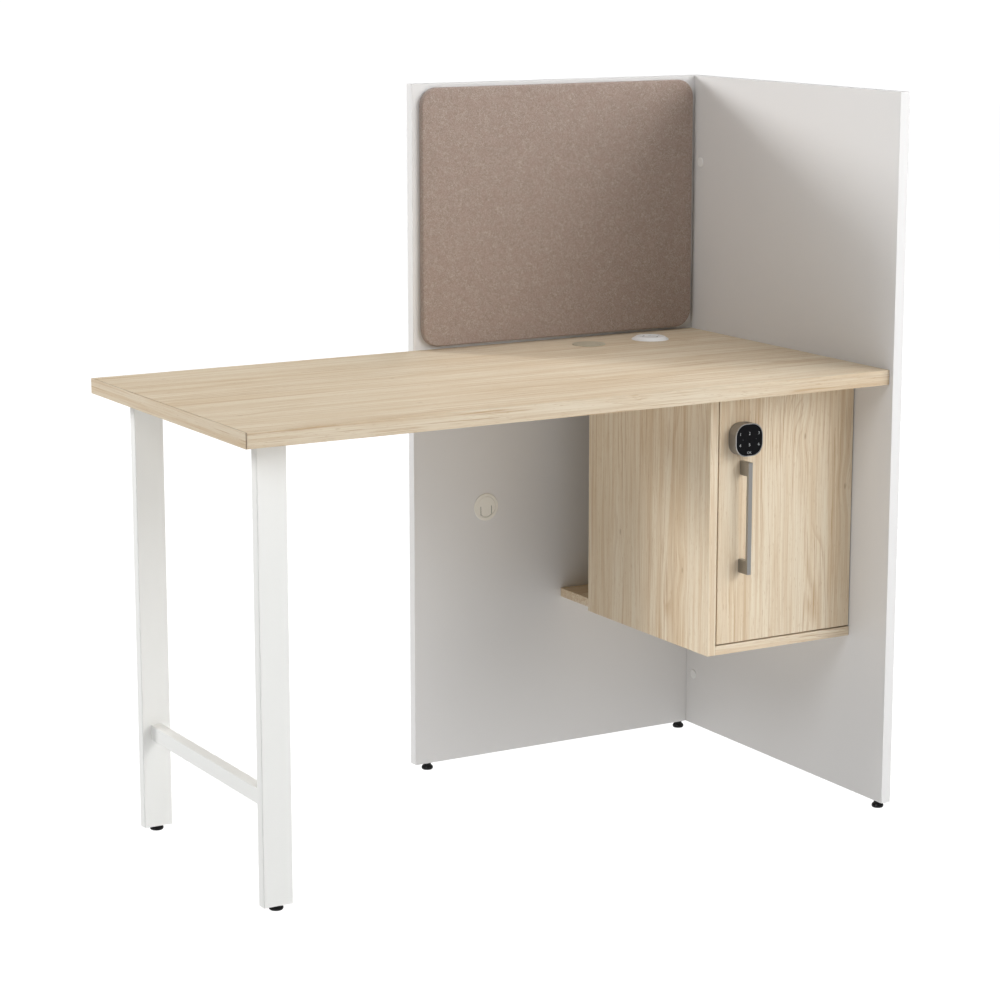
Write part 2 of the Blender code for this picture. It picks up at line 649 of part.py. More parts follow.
def keypad_lock(hinge):
    """A keypad case on the door's face, a case for its works behind the door, and its bolt."""
    face = (LOCK_X, LOCKER_FRONT - GAP, LOCK_Z)
    case = finish(rounded_slab(LOCK_SIZE, LOCK_RADIUS, LOCK_OUT - GAP, face, "-y"), "lock_case", NICKEL)
    bevel(case, METAL_EDGE, 1, 50.0)
    pocket_size = [side - 2 * LOCK_RIM for side in LOCK_SIZE]
    pocket_r = LOCK_RADIUS - LOCK_RIM
    pocket = (LOCK_X, LOCKER_FRONT - LOCK_OUT + LOCK_RECESS, LOCK_Z)
    cut(case, rounded_slab(pocket_size, pocket_r, LOCK_RECESS + OVERLAP, pocket, "-y"))
    top = LOCK_Z + LOCK_SIZE[1] / 2
    cut(case, cube((LOCK_X - LOCK_SLOT_HALF, LOCK_SLOT_Y[0], top - LOCK_SLOT_DEPTH),
                   (LOCK_X + LOCK_SLOT_HALF, LOCK_SLOT_Y[1], top + OVERLAP)))
    glass_size = [side - 2 * GAP for side in pocket_size]
    glass_back = (LOCK_X, pocket[1] - GAP, LOCK_Z)
    keypad = finish(rounded_slab(glass_size, pocket_r - GAP, GLASS_T, glass_back, "-y"),
                    "lock_keypad", KEY_GLASS)
    bevel(keypad, GLASS_EDGE, 1, 50.0)
    near, far = DOOR_BACK + GAP, DOOR_BACK + GAP + CASE_DEPTH
    works = board("lock_works_case", (CASE_X[0], near, CASE_Z[0]), (CASE_X[1], far, CASE_Z[1]),
                  BLACK_PLASTIC, CASE_EDGE)
    cut(works, cube((CASE_X[0] + CASE_WALL, near + CASE_WALL, CASE_Z[0] + CASE_WALL),
                    (CASE_X[1] - CASE_WALL, far + OVERLAP, CASE_Z[1] - CASE_WALL)),
        on_bolt((CASE_X[0] - OVERLAP, CASE_X[0] + CASE_WALL + OVERLAP), BOLT_SIZE[0] / 2 + GAP,
                BOLT_SIZE[1] / 2 + GAP))
    lid = board("lock_battery_cover", (CASE_X[0], far + GAP, CASE_Z[0]),
                (CASE_X[1], far + GAP + LID_T, CASE_Z[1]), BLACK_PLASTIC, MOULDED_EDGE, 1)
    bolt = on_bolt((CASE_X[0], CASE_X[0] + BOLT_LENGTH), BOLT_SIZE[0] / 2, BOLT_SIZE[1] / 2)
    finish(bolt, "lock_bolt", STEEL)
    bevel(bolt, METAL_EDGE, 1)
    ride(hinge, case, keypad, works, lid)
    ride(pivot("lock_bolt_slide", corner(CASE_X[0], BOLT_Y, LOCK_Z)), bolt)


# ---------------------------------------------------------------- cable ports and power
PORT_PROUD = 0.0015
PORT_LEDGE = 0.0022
PORT_LEDGE_W = 0.0022        # width of the ledge the cap sits on
PORT_EDGE = 0.0006
CAP_SKIRT = 0.0080
CAP_SKIRT_T = 0.0012
CAP_SKIRT_ROOM = 0.0005
CAP_EDGE = 0.0004
TONGUE_SLOT = 0.0010
ARC_STEPS = 8
# Flange, sleeve and cap radius of each port.
DESK_PORT_RADII = (0.0300, DESK_SLEEVE_R, 0.0240)
PANEL_PORT_RADII = (0.0250, PORT_SLEEVE_R, 0.0192)
DESK_PORT_DEPTH = 0.0180


def extruded(outline, low, high):
    """A flat outline given as (x, y) pairs, drawn as a filled curve and extruded from low to high."""
    curve = bpy.data.curves.new("outline", "CURVE")
    curve.dimensions = "2D"
    curve.fill_mode = "BOTH"
    curve.extrude = (high - low) / 2
    line = curve.splines.new("POLY")
    line.points.add(len(outline) - 1)
    for point, (x, y) in zip(line.points, outline):
        point.co = (x, y, 0.0, 1.0)
    line.use_cyclic_u = True
    drawn = bpy.data.objects.new("outline", curve)
    mesh = bpy.data.meshes.new_from_object(drawn)
    bpy.data.objects.remove(drawn)
    mesh.transform(Matrix.Translation((0.0, 0.0, (low + high) / 2)))
    edit = bmesh.new()
    edit.from_mesh(mesh)
    bmesh.ops.remove_doubles(edit, verts=edit.verts[:], dist=MERGE)
    bmesh.ops.recalc_face_normals(edit, faces=edit.faces[:])
    edit.to_mesh(mesh)
    edit.free()
    obj = bpy.data.objects.new("outline", mesh)
    PARTS.objects.link(obj)
    return obj


def tongue_slot(cap_r):
    """The outline of the thin U-shaped slot round a cap's tongue."""
    half_w, top, sag = cap_r * 0.58, cap_r * 0.10, cap_r * 0.26
    low = -cap_r * 0.68
    bend = (half_w ** 2 + sag ** 2) / (2 * sag)
    sweep = math.asin(half_w / bend)

    def side(offset):
        reach = half_w + offset
        arc = []
        for step in range(ARC_STEPS + 1):
            angle = -sweep + 2 * sweep * step / ARC_STEPS
            arc.append(((bend + offset) * math.sin(angle),
                        low + bend - sag - (bend + offset) * math.cos(angle)))
        arc[0], arc[-1] = (-reach, arc[0][1]), (reach, arc[-1][1])
        return [(-reach, top), *arc, (reach, top)]

    half_t = TONGUE_SLOT / 2
    return side(half_t) + side(-half_t)[::-1]


def cable_port(name, place, axis, radii, depth):
    """A lined cable hole, and the cap that presses into it, with a tongue cut out for cables."""
    flange_r, sleeve_r, cap_r = radii
    bore, seat = cap_r - PORT_LEDGE_W, PORT_PROUD - PORT_LEDGE
    liner = turned(place, axis, [
        (cap_r + GAP, PORT_PROUD), (flange_r - PORT_EDGE, PORT_PROUD), (flange_r, PORT_PROUD - PORT_EDGE),
        (flange_r, GAP), (sleeve_r, GAP), (sleeve_r, -depth), (bore, -depth), (bore, seat),
        (cap_r + GAP, seat), (cap_r + GAP, PORT_PROUD)], 40)
    finish(liner, f"{name}_port_liner", CREAM_PLASTIC)
    under = seat + GAP
    skirt_r = bore - CAP_SKIRT_ROOM
    skirt_in = skirt_r - CAP_SKIRT_T
    cap = turned(place, axis, [
        (0.0, PORT_PROUD), (cap_r - CAP_EDGE, PORT_PROUD), (cap_r, PORT_PROUD - CAP_EDGE),
        (cap_r, under), (skirt_r, under), (skirt_r, -CAP_SKIRT), (skirt_in, -CAP_SKIRT),
        (skirt_in, under), (0.0, under)], 40)
    finish(cap, f"{name}_port_cap", CREAM_PLASTIC)
    slot = extruded(tongue_slot(cap_r), under - OVERLAP, PORT_PROUD + OVERLAP)
    slot.matrix_world = cap.matrix_world
    cut(cap, slot)
    ride(pivot(f"{name}_port_cap_pull", corner(*place)), cap)


def cable_ports():
    desk = (DESK_PORT[0], DESK_PORT[1], DESK_TOP)
    cable_port("desk", desk, "z", DESK_PORT_RADII, DESK_PORT_DEPTH)
    panel = (PANEL_PORT[0], 0.0, PANEL_PORT[1])
    cable_port("panel", panel, "-y", PANEL_PORT_RADII, PANEL_T - GAP)


# Slots in the socket, from its middle: place and size along X and Y.
SOCKET_SLOTS = {
    "left_blade": (-0.0064, -0.0030, 0.0016, 0.0080),
    "right_blade": (0.0064, -0.0030, 0.0016, 0.0068),
    "wide_charger": (0.0056, 0.0105, 0.0074, 0.0028),
    "small_charger": (-0.0056, 0.0105, 0.0050, 0.0022),
}


SOCKET_R = 0.0180
SOCKET_TOP = 0.0050          # heights over the desktop
SOCKET_LOW = -0.0055
SOCKET_FLOOR = -0.0030
EARTH_PIN = (0.0, -0.0115)
EARTH_PIN_R = 0.0024
# The bezel and the body: radius, and height over the desktop.
BEZEL = [
    (SOCKET_R + GAP, 0.0060), (0.0255, 0.0060), (0.0268, 0.0055), (0.0332, 0.0014), (0.0340, GAP),
    (SOCKET_R + GAP, GAP), (SOCKET_R + GAP, 0.0060),
]
NUT_R = 0.0312
NUT_TOP = -DESK_T - GAP
NUT_LOW = NUT_TOP - 0.0070
POWER_BODY = [
    (0.0, -0.0060), (POWER_SLEEVE_R, -0.0060), (POWER_SLEEVE_R, NUT_TOP), (NUT_R, NUT_TOP),
    (NUT_R, NUT_LOW), (POWER_SLEEVE_R, NUT_LOW), (POWER_SLEEVE_R, -0.0660),
    (POWER_SLEEVE_R - 0.0020, -0.0680), (0.0070, -0.0680), (0.0070, -0.0760), (0.0045, -0.0760),
    (0.0045, -0.0620), (0.0, -0.0620),
]


def power_module():
    """A round power unit: its bevelled bezel, the socket in it, and the body under the desktop."""
    x, y = POWER_PORT
    place = (x, y, DESK_TOP)
    finish(turned(place, "z", BEZEL, 48), "power_bezel", WHITE_PLASTIC)
    finish(turned(place, "z", POWER_BODY, 40), "power_body", WHITE_PLASTIC)
    socket = rod((x, y, DESK_TOP + SOCKET_LOW), "z", SOCKET_R, SOCKET_TOP - SOCKET_LOW, 40)
    finish(socket, "power_socket", WHITE_PLASTIC)
    floor, above = DESK_TOP + SOCKET_FLOOR, DESK_TOP + SOCKET_TOP + OVERLAP
    for slot_x, slot_y, size_x, size_y in SOCKET_SLOTS.values():
        low = (x + slot_x - size_x / 2, y + slot_y - size_y / 2, floor)
        cut(socket, cube(low, (low[0] + size_x, low[1] + size_y, above)))
    pin = (x + EARTH_PIN[0], y + EARTH_PIN[1], floor)
    cut(socket, rod(pin, "z", EARTH_PIN_R, above - floor, 16))


def build():
    back_panel()
    side_panel()
    connectors()
    panel_glides()
    desktop()
    edge_bands()
    desk_brackets()
    leg_frame()
    leg_feet()
    tackboard()
    hinge = pivot("door_hinge", corner(DOOR_RIGHT, LOCKER_FRONT, 0.0))
    locker_boards()
    locker_door(hinge)
    concealed_hinges(hinge)
    door_pull(hinge)
    keypad_lock(hinge)
    cable_ports()
    power_module()


build()
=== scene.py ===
# %% [markdown]
# # A study carrel, finished in Blender
# The frame of this carrel is already built and packed: boards, tubes, hinges, lock and glides, each
# a node of its own that moves with its body. This script gives it its looks. It reads the frame, sets
# up a plain studio, makes one procedural finish for each real material, and models the small pieces
# that the frame leaves out, such as the felt skin of the tackboard and the digits on the keypad.

import math

import bmesh
import bpy
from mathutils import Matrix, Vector, noise


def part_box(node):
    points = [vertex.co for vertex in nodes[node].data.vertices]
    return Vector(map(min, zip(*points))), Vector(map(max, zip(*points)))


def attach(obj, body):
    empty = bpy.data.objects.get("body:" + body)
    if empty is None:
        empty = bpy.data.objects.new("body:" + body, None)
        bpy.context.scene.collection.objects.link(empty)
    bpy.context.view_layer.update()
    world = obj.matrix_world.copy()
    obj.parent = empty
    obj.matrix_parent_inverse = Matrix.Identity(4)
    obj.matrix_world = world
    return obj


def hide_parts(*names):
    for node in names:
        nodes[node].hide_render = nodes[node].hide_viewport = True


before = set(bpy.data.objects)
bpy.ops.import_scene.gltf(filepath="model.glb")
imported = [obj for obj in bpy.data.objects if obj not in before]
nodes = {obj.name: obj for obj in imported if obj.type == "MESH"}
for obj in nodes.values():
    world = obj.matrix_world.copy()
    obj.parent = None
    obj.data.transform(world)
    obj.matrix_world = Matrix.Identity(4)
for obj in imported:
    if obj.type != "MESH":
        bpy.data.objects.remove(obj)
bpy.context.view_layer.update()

# %% [markdown]
# Every place below is worked out from the frame itself. The two screen panels meet at one upright
# line, where their inner faces touch, and that line is the natural place to measure from: `corner`
# takes a place from it, with x negative to the left, y negative to the front and z up from the floor.

# %% The line where the panels meet
CORNER_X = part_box("side_panel")[0].x
CORNER_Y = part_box("back_panel")[0].y
DESK_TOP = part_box("desktop")[1].z


def corner(x, y, z):
    return Vector((CORNER_X + x, CORNER_Y + y, z))


print("corner line at", round(CORNER_X, 4), round(CORNER_Y, 4), "worksurface at", round(DESK_TOP, 4))

# %% [markdown]
# ## The camera
# A long lens keeps the uprights nearly parallel, as in a catalogue picture. The camera stands well
# back, to the left and in front of the carrel, a little above the screens, and looks down at it.

# %% Camera
CAMERA_FROM_CORNER = (-2.964, -4.374, 1.515)
LOOK_RIGHT = math.radians(30.25)
LOOK_DOWN = math.radians(11.47)
LENS_MM = 102.3
SENSOR_MM = 36.0
SEES_TO = 60.0

camera = bpy.data.objects.new("camera", bpy.data.cameras.new("camera"))
bpy.context.scene.collection.objects.link(camera)
camera.location = corner(*CAMERA_FROM_CORNER)
camera.rotation_euler = (math.pi / 2 - LOOK_DOWN, 0.0, -LOOK_RIGHT)
camera.data.lens = LENS_MM
camera.data.sensor_width = SENSOR_MM
camera.data.clip_end = SEES_TO
bpy.context.scene.camera = camera
print("camera at", [round(value, 3) for value in camera.location])

# %% [markdown]
# ## The studio
# The carrel stands in a white studio. A strong lamp behind it on the left rims the boards and throws
# the soft diagonal shadows on the screens. A bank of large lamps at the front right lights the rest,
# and one hangs overhead. Each is a disc given by where it stands round the carrel: its azimuth from
# the front, its elevation, its distance, its size and its power. The size of a lamp, seen from the
# object, sets how soft its shadows are. Low lamps would glare in the flat worksurface, so only the
# high ones shine in reflections.

# %% Lamps
MIDDLE = corner(-0.5, -0.3, 0.7)
LAMPS = {
    "rear_left": (-142.0, 20.0, 5.5, 1.4, 188.0),
    "rear_left_high": (-142.0, 30.0, 5.5, 1.4, 17.0),
    "left_fill": (-60.0, 32.0, 5.5, 2.6, 67.0),
    "front_low": (25.0, 15.0, 5.5, 2.8, 53.0),
    "front_high": (25.0, 32.0, 5.5, 2.8, 26.0),
    "front_near": (35.0, 25.0, 3.4, 1.6, 15.0),
    "right_low": (62.0, 8.0, 5.5, 2.8, 72.0),
    "right_high": (50.0, 32.0, 5.5, 2.8, 43.0),
    "right_middle": (38.0, 22.0, 5.5, 2.8, 23.0),
    "rear_right": (120.0, 60.0, 5.0, 2.6, 51.0),
    "overhead": (0.0, 88.0, 5.0, 2.6, 65.0),
}
SHINING = ("left_fill", "front_high", "rear_right", "overhead")

for name, (azimuth, elevation, distance, size, power) in LAMPS.items():
    azimuth, elevation = math.radians(azimuth), math.radians(elevation)
    flat = math.cos(elevation)
    away = Vector((math.sin(azimuth) * flat, -math.cos(azimuth) * flat, math.sin(elevation)))
    lamp = bpy.data.lights.new(name, "AREA")
    lamp.shape = "DISK"
    lamp.size = size
    lamp.energy = power
    light = bpy.data.objects.new(name, lamp)
    bpy.context.scene.collection.objects.link(light)
    light.location = MIDDLE + away * distance
    light.rotation_euler = away.to_track_quat("Z", "Y").to_euler()
    light.visible_camera = False
    light.visible_glossy = name in SHINING
print("lamps:", len(LAMPS))

# %% [markdown]
# White paper under and round the carrel throws light back up, so as a light the world is bright
# below the horizon and dim above it. The camera itself sees plain white. Light Path tells the two
# uses apart, and the direction's height tells below from above.

# %% World
WHITE = (1.0, 1.0, 1.0, 1.0)
PAPER_BELOW = 0.84
PAPER_ABOVE = 0.06
PAPER_SEEN = 1.05
HORIZON = 0.02

world = bpy.data.worlds.new("studio")
bpy.context.scene.world = world
world.use_nodes = True
sky = world.node_tree.nodes
join = world.node_tree.links.new
bounce = sky["Background"]
bounce.inputs["Color"].default_value = WHITE
direction = sky.new("ShaderNodeTexCoord")
height = sky.new("ShaderNodeSeparateXYZ")
level = sky.new("ShaderNodeMapRange")
level.inputs["From Min"].default_value = -HORIZON
level.inputs["From Max"].default_value = HORIZON
level.inputs["To Min"].default_value = PAPER_BELOW
level.inputs["To Max"].default_value = PAPER_ABOVE
paper = sky.new("ShaderNodeBackground")
paper.inputs["Color"].default_value = WHITE
paper.inputs["Strength"].default_value = PAPER_SEEN
choice = sky.new("ShaderNodeMixShader")
path = sky.new("ShaderNodeLightPath")
join(direction.outputs["Generated"], height.inputs["Vector"])
join(height.outputs["Z"], level.inputs["Value"])
join(level.outputs["Result"], bounce.inputs["Strength"])
join(path.outputs["Is Camera Ray"], choice.inputs["Fac"])
join(bounce.outputs["Background"], choice.inputs[1])
join(paper.outputs["Background"], choice.inputs[2])
join(choice.outputs["Shader"], sky["World Output"].inputs["Surface"])
bpy.context.scene.view_settings.view_transform = "Standard"
print("world:", world.name)

# %% [markdown]
# The floor is a wide white sheet that carries on into the background, so no horizon shows. It glows
# faintly, as overexposed studio paper does, and keeps only a trace of the shadows under the glides.

# %% Floor
FLOOR_SIZE = 30.0
FLOOR_DROP = 0.0006
FLOOR_GREY = 0.20
FLOOR_GLOW = 1.0

bpy.ops.object.select_all(action="DESELECT")
bpy.ops.mesh.primitive_plane_add(size=FLOOR_SIZE, location=(0.0, 0.0, -FLOOR_DROP))
floor = bpy.context.object
floor.name = "floor"
paper_white = bpy.data.materials.new("paper_white")
paper_white.use_nodes = True
sheet = paper_white.node_tree.nodes["Principled BSDF"]
sheet.inputs["Base Color"].default_value = (FLOOR_GREY, FLOOR_GREY, FLOOR_GREY, 1.0)
sheet.inputs["Roughness"].default_value = 0.9
sheet.inputs["Specular IOR Level"].default_value = 0.0
sheet.inputs["Emission Color"].default_value = WHITE
sheet.inputs["Emission Strength"].default_value = FLOOR_GLOW
floor.data.materials.append(paper_white)
floor.visible_diffuse = False
floor.visible_glossy = False
print("floor:", FLOOR_SIZE, "m")

# %% [markdown]
# ## Shader maths as Python
# A finish is a small node tree. Wiring it by hand is slow to read, so `Wire` wraps a socket and lets
# ordinary arithmetic add the Math nodes: `1 - mask * 0.5` becomes two nodes. `Finish` is a material
# with one method, `node`, that adds any other node from its type, its settings and its sockets.


# %% Wires and finishes
class Wire:
    """An output socket that Python's arithmetic works on."""

    def __init__(self, finish, socket):
        self.finish = finish
        self.socket = socket

    def maths(self, operation, first, second):
        return self.finish.maths(operation, first, second)

    def __add__(self, other):
        return self.maths("ADD", self, other)

    __radd__ = __add__

    def __sub__(self, other):
        return self.maths("SUBTRACT", self, other)

    def __rsub__(self, other):
        return self.maths("SUBTRACT", other, self)

    def __mul__(self, other):
        return self.maths("MULTIPLY", self, other)

    __rmul__ = __mul__

    def above(self, limit):
        return self.maths("GREATER_THAN", self, limit)

    def between(self, low, high):
        """0 up to low, 1 from high on, and smooth between the two."""
        settings = {"interpolation_type": "SMOOTHSTEP", "clamp": True}
        sockets = {"Value": self, "From Min": low, "From Max": high}
        return self.finish.node("ShaderNodeMapRange", settings, sockets)


class Finish:
    """A material: a Principled shader, and the nodes that feed it."""

    def __init__(self, name, color, roughness, metallic=0.0, **constants):
        self.material = bpy.data.materials.new(name)
        self.material.use_nodes = True
        self.tree = self.material.node_tree
        self.shader = self.tree.nodes["Principled BSDF"]
        self.feed("Base Color", (*color, 1.0))
        self.feed("Roughness", roughness)
        self.feed("Metallic", metallic)
        for socket, value in constants.items():
            self.feed(socket.replace("_", " ").title().replace("Ior", "IOR"), value)

    def put(self, socket, value):
        if isinstance(value, Wire):
            self.tree.links.new(value.socket, socket)
        else:
            socket.default_value = value

    def feed(self, name, value):
        self.put(self.shader.inputs[name], value)

    def maths(self, operation, *values):
        return self.node("ShaderNodeMath", {"operation": operation}, dict(enumerate(values)))

    def node(self, kind, settings, sockets, output=0):
        made = self.tree.nodes.new(kind)
        for name, value in settings.items():
            setattr(made, name, value)
        for name, value in sockets.items():
            self.put(made.inputs[name], value)
        return Wire(self, made.outputs[output])

    def place(self, order="xyz", shift=(0.0, 0.0, 0.0)):
        """Object coordinates with their axes in another order, and moved so that boards differ."""
        here = self.node("ShaderNodeTexCoord", {}, {}, "Object")
        split = self.tree.nodes.new("ShaderNodeSeparateXYZ")
        self.put(split.inputs[0], here)
        turned = {}
        for axis, (letter, amount) in enumerate(zip(order, shift)):
            turned[axis] = Wire(self, split.outputs[letter.upper()]) + amount
        return self.node("ShaderNodeCombineXYZ", {}, turned)

    def stretch(self, vector, amounts):
        sockets = {0: vector, 1: amounts}
        return self.node("ShaderNodeVectorMath", {"operation": "MULTIPLY"}, sockets)

    def moved(self, vector, x=0.0, y=0.0, z=0.0):
        step = self.node("ShaderNodeCombineXYZ", {}, {0: x, 1: y, 2: z})
        return self.node("ShaderNodeVectorMath", {"operation": "ADD"}, {0: vector, 1: step})

    def noise(self, vector, per_metre, detail=2.0, roughness=0.5, distortion=0.0):
        """Noise from 0 to 1, with so many features to the metre along each axis."""
        sockets = {"Vector": self.stretch(vector, per_metre), "Scale": 1.0, "Detail": detail,
                   "Roughness": roughness, "Distortion": distortion}
        return self.node("ShaderNodeTexNoise", {}, sockets)

    def blend(self, first, second, factor):
        """From one colour to another as factor goes from 0 to 1."""
        sockets = {"Factor": factor, 6: self.colour(first), 7: self.colour(second)}
        return self.node("ShaderNodeMix", {"data_type": "RGBA"}, sockets, 2)

    def colour(self, value):
        return value if isinstance(value, Wire) else (*value, 1.0)

    def bump(self, height, depth, strength=1.0):
        sockets = {"Height": height, "Distance": depth, "Strength": strength}
        self.feed("Normal", self.node("ShaderNodeBump", {}, sockets))

    def paint(self, *names):
        """Gives the finish to CAD nodes, in place of the plain material they came with."""
        for name in names:
            slots = nodes[name].data.materials
            slots.clear()
            slots.append(self.material)


print("shader tools ready")

# %% [markdown]
# ## White laminate
# The screens are particle board pressed between two sheets of white laminate. The surface is plain
# from a distance, but it isn't a perfect mirror: a press plate leaves a fine pebble that spreads the
# highlights. A shallow bump and a little drift in the roughness are enough.

# %% White laminate
LAMINATE = (0.800, 0.794, 0.788)
LAMINATE_CLOUD = (0.775, 0.770, 0.765)
PEBBLE_PER_METRE = 900.0
PEBBLE_DEPTH = 0.00004

white_board = Finish("white_laminate", LAMINATE, 0.42)
here = white_board.place()
cloud = white_board.noise(here, (4.0,) * 3, 3.0)
white_board.feed("Base Color", white_board.blend(LAMINATE, LAMINATE_CLOUD, cloud))
white_board.feed("Roughness", 0.38 + cloud * 0.10)
white_board.bump(white_board.noise(here, (PEBBLE_PER_METRE,) * 3), PEBBLE_DEPTH, 0.6)
white_board.paint("back_panel", "side_panel")
print("white laminate on 2 boards")

# %% [markdown]
# ## Blonde wood laminate
# The worksurface and the locker are faced with a printed wood: a pale cream ground, long soft
# streaks and veins, thin darker lines that wander a little, very fine fibres, and now and then a
# small knot. Wood looks like wood because each of these is drawn out along the grain, so one recipe
# stretches several noises by different amounts. `GRAIN` lists them: the features to the metre along
# and across the grain, the noise's detail and roughness, the values at which it starts to show and
# shows in full, and how strongly it does.

# %% Wood's colours and noises
CREAM = (0.800, 0.700, 0.545)
STREAK = (0.685, 0.538, 0.368)
LINE = (0.490, 0.310, 0.155)
KNOT = (0.360, 0.235, 0.130)
GRAIN = {
    "broad": (0.9, 26.0, 3.0, 0.50, 0.42, 0.60, 0.32),
    "band": (2.4, 115.0, 4.0, 0.64, 0.47, 0.59, 0.50),
    "hair": (8.0, 620.0, 2.0, 0.50, 0.46, 0.58, 0.34),
    "vein": (1.9, 150.0, 2.0, 0.50, 0.55, 0.66, 0.26),
    "thin": (6.5, 360.0, 3.0, 0.55, 0.55, 0.65, 0.60),
}
print("noises in the wood:", ", ".join(GRAIN))

# %% [markdown]
# The grain isn't straight. A slow noise pushes it sideways, and it swells round each knot. The knots
# sit in the cells of a Voronoi pattern, whose random cell colour leaves most of them empty. Where a
# second slow noise allows, a few fine contour lines run round, as where a saw cuts the year rings
# at a low angle. Each board gets the recipe with its own grain direction and its own piece of the
# pattern, as boards cut from different sheets do.

# %% Wood recipe
WANDER_Y = 0.040
WANDER_Z = 0.020
KNOT_CELLS = (3.4, 8.0, 1.0)
KNOT_RARITY = 0.62
KNOT_REACH = 0.22
KNOT_PUSH = 0.007
KNOT_EYE = (0.006, 0.026)
KNOT_STRENGTH = 0.50
RINGS_PER_METRE = 90.0
RING_WANDER = 16.0
RING_STRENGTH = 0.34
FLECK_STRENGTH = 0.45
THIN_LEAST = 0.26
WOOD_DEPTH = 0.00006
WOOD_SPECULAR = 0.3


def wood(name, order, shift, tone=0.90, figure=1.0):
    """Wood with its grain along order's first axis; figure sets how strong knots and waves are."""
    made = Finish(name, CREAM, 0.5)
    made.feed("Specular IOR Level", WOOD_SPECULAR)
    here = made.place(order, shift)
    wander = made.noise(here, (1.1, 7.0, 7.0)) - 0.5
    cell = made.tree.nodes.new("ShaderNodeTexVoronoi")
    cell.voronoi_dimensions = "2D"
    made.put(cell.inputs["Vector"], made.stretch(here, KNOT_CELLS))
    cell.inputs["Scale"].default_value = 1.0
    away = Wire(made, cell.outputs["Distance"])
    chance = made.node("ShaderNodeSeparateColor", {}, {0: Wire(made, cell.outputs["Color"])})
    knotty = chance.above(KNOT_RARITY) * figure
    swell = (1.0 - away.between(0.0, KNOT_REACH)) * knotty
    sideways = wander * (WANDER_Y * figure) + swell * KNOT_PUSH
    across = made.moved(here, y=sideways, z=wander * (WANDER_Z * figure))
    raw, seen = {}, {}
    for part, (along_it, across_it, detail, roughness, low, high, strength) in GRAIN.items():
        raw[part] = made.noise(across, (along_it, across_it, across_it), detail, roughness)
        seen[part] = raw[part].between(low, high) * strength
    patch = made.noise(here, (2.2, 11.0, 11.0), 1.0)
    streaks = seen["broad"] + seen["band"]
    ground = made.blend(CREAM, STREAK, streaks + seen["hair"])
    ground = made.blend(ground, LINE, seen["vein"])
    share = THIN_LEAST + patch.between(0.42, 0.58) * (1.0 - THIN_LEAST)
    ground = made.blend(ground, LINE, seen["thin"] * share)
    split = made.tree.nodes.new("ShaderNodeSeparateXYZ")
    made.put(split.inputs[0], across)
    ring = Wire(made, split.outputs["Y"]) * RINGS_PER_METRE + wander * RING_WANDER
    ring = made.maths("FRACT", ring)
    contour = (1.0 - ring.between(0.06, 0.34)) * ring.between(0.0, 0.06)
    ground = made.blend(ground, LINE, contour * patch.between(0.54, 0.64) * (RING_STRENGTH * figure))
    fleck = made.noise(here, (60.0, 800.0, 800.0), 1.0).between(0.66, 0.72)
    ground = made.blend(ground, LINE, fleck * FLECK_STRENGTH)
    ground = made.blend(ground, KNOT, (1.0 - away.between(*KNOT_EYE)) * knotty * KNOT_STRENGTH)
    made.feed("Base Color", made.stretch(ground, (tone, tone, tone)))
    made.feed("Roughness", 0.50 + streaks * 0.10)
    fibre = made.noise(across, (30.0, 1500.0, 1500.0), 2.0, 0.6)
    made.bump(fibre + raw["thin"], WOOD_DEPTH, 0.5)
    return made


BOARDS = {
    "desktop": ("xyz", (3.1, 0.7, 0.0), 0.90),
    "locker_door": ("zxy", (1.4, 5.2, 0.0), 1.03),
    "locker_side": ("zyx", (6.3, 2.9, 0.0), 1.03),
    "locker_bottom": ("xyz", (8.2, 4.4, 1.7), 1.03),
    "locker_back": ("zxy", (4.8, 9.1, 0.0), 1.03),
}
for board, (order, shift, tone) in BOARDS.items():
    wood(f"wood_{board}", order, shift, tone).paint(board)
print("wood on", len(BOARDS), "boards")

# %% [markdown]
# ## Edge bands
# The worksurface's edges carry a two millimetre band of solid plastic, printed with wood on its
# outside only. Where the band's own thickness shows, at its ends and along its top edge, it is a
# plain grey brown, which draws the thin line round the top and the dark stroke at the front corner.
# The printed skin is told from the body by how far a point lies from the band's outer face.

# %% Bands
LEFT_CORE = (0.235, 0.175, 0.130)
FRONT_CORE = (0.42, 0.34, 0.26)
PRINT_DEPTH = 0.00025
BAND_FIGURE = 0.15


def band(node, order, shift, axis, outer, core, core_share):
    made = wood(f"wood_{node}", order, shift, figure=BAND_FIGURE)
    made.paint(node)
    split = made.tree.nodes.new("ShaderNodeSeparateXYZ")
    made.put(split.inputs[0], made.node("ShaderNodeTexCoord", {}, {}, "Object"))
    depth = Wire(made, split.outputs[axis]) - outer
    printed = made.shader.inputs["Base Color"].links[0].from_socket
    body = depth.between(PRINT_DEPTH, PRINT_DEPTH * 2.0) * core_share
    made.feed("Base Color", made.blend(Wire(made, printed), core, body))
    return made


desk_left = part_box("desktop_left_band")[0]
desk_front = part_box("desktop_front_band")[0]
band("desktop_left_band", "yzx", (2.2, 7.3, 0.0), "X", desk_left.x, LEFT_CORE, core_share=0.85)
band("desktop_front_band", "xzy", (5.5, 1.9, 0.0), "Y", desk_front.y, FRONT_CORE, core_share=0.55)
rear_band = wood("wood_desktop_rear_band", "xzy", (9.5, 3.9, 0.0), figure=BAND_FIGURE)
rear_band.paint("desktop_rear_band")
print("bands: left, front and rear")

# %% [markdown]
# ## Powder coat
# The leg frame is welded steel tube, sprayed with off-white powder and baked. The powder melts into
# a satin skin with a faint orange peel, so it takes a shallow bump one or two millimetres across.

# %% Powder coat
POWDER = (0.915, 0.918, 0.895)
POWDER_DARK = (0.890, 0.893, 0.870)
PEEL_PER_METRE = 650.0
PEEL_DEPTH = 0.00006

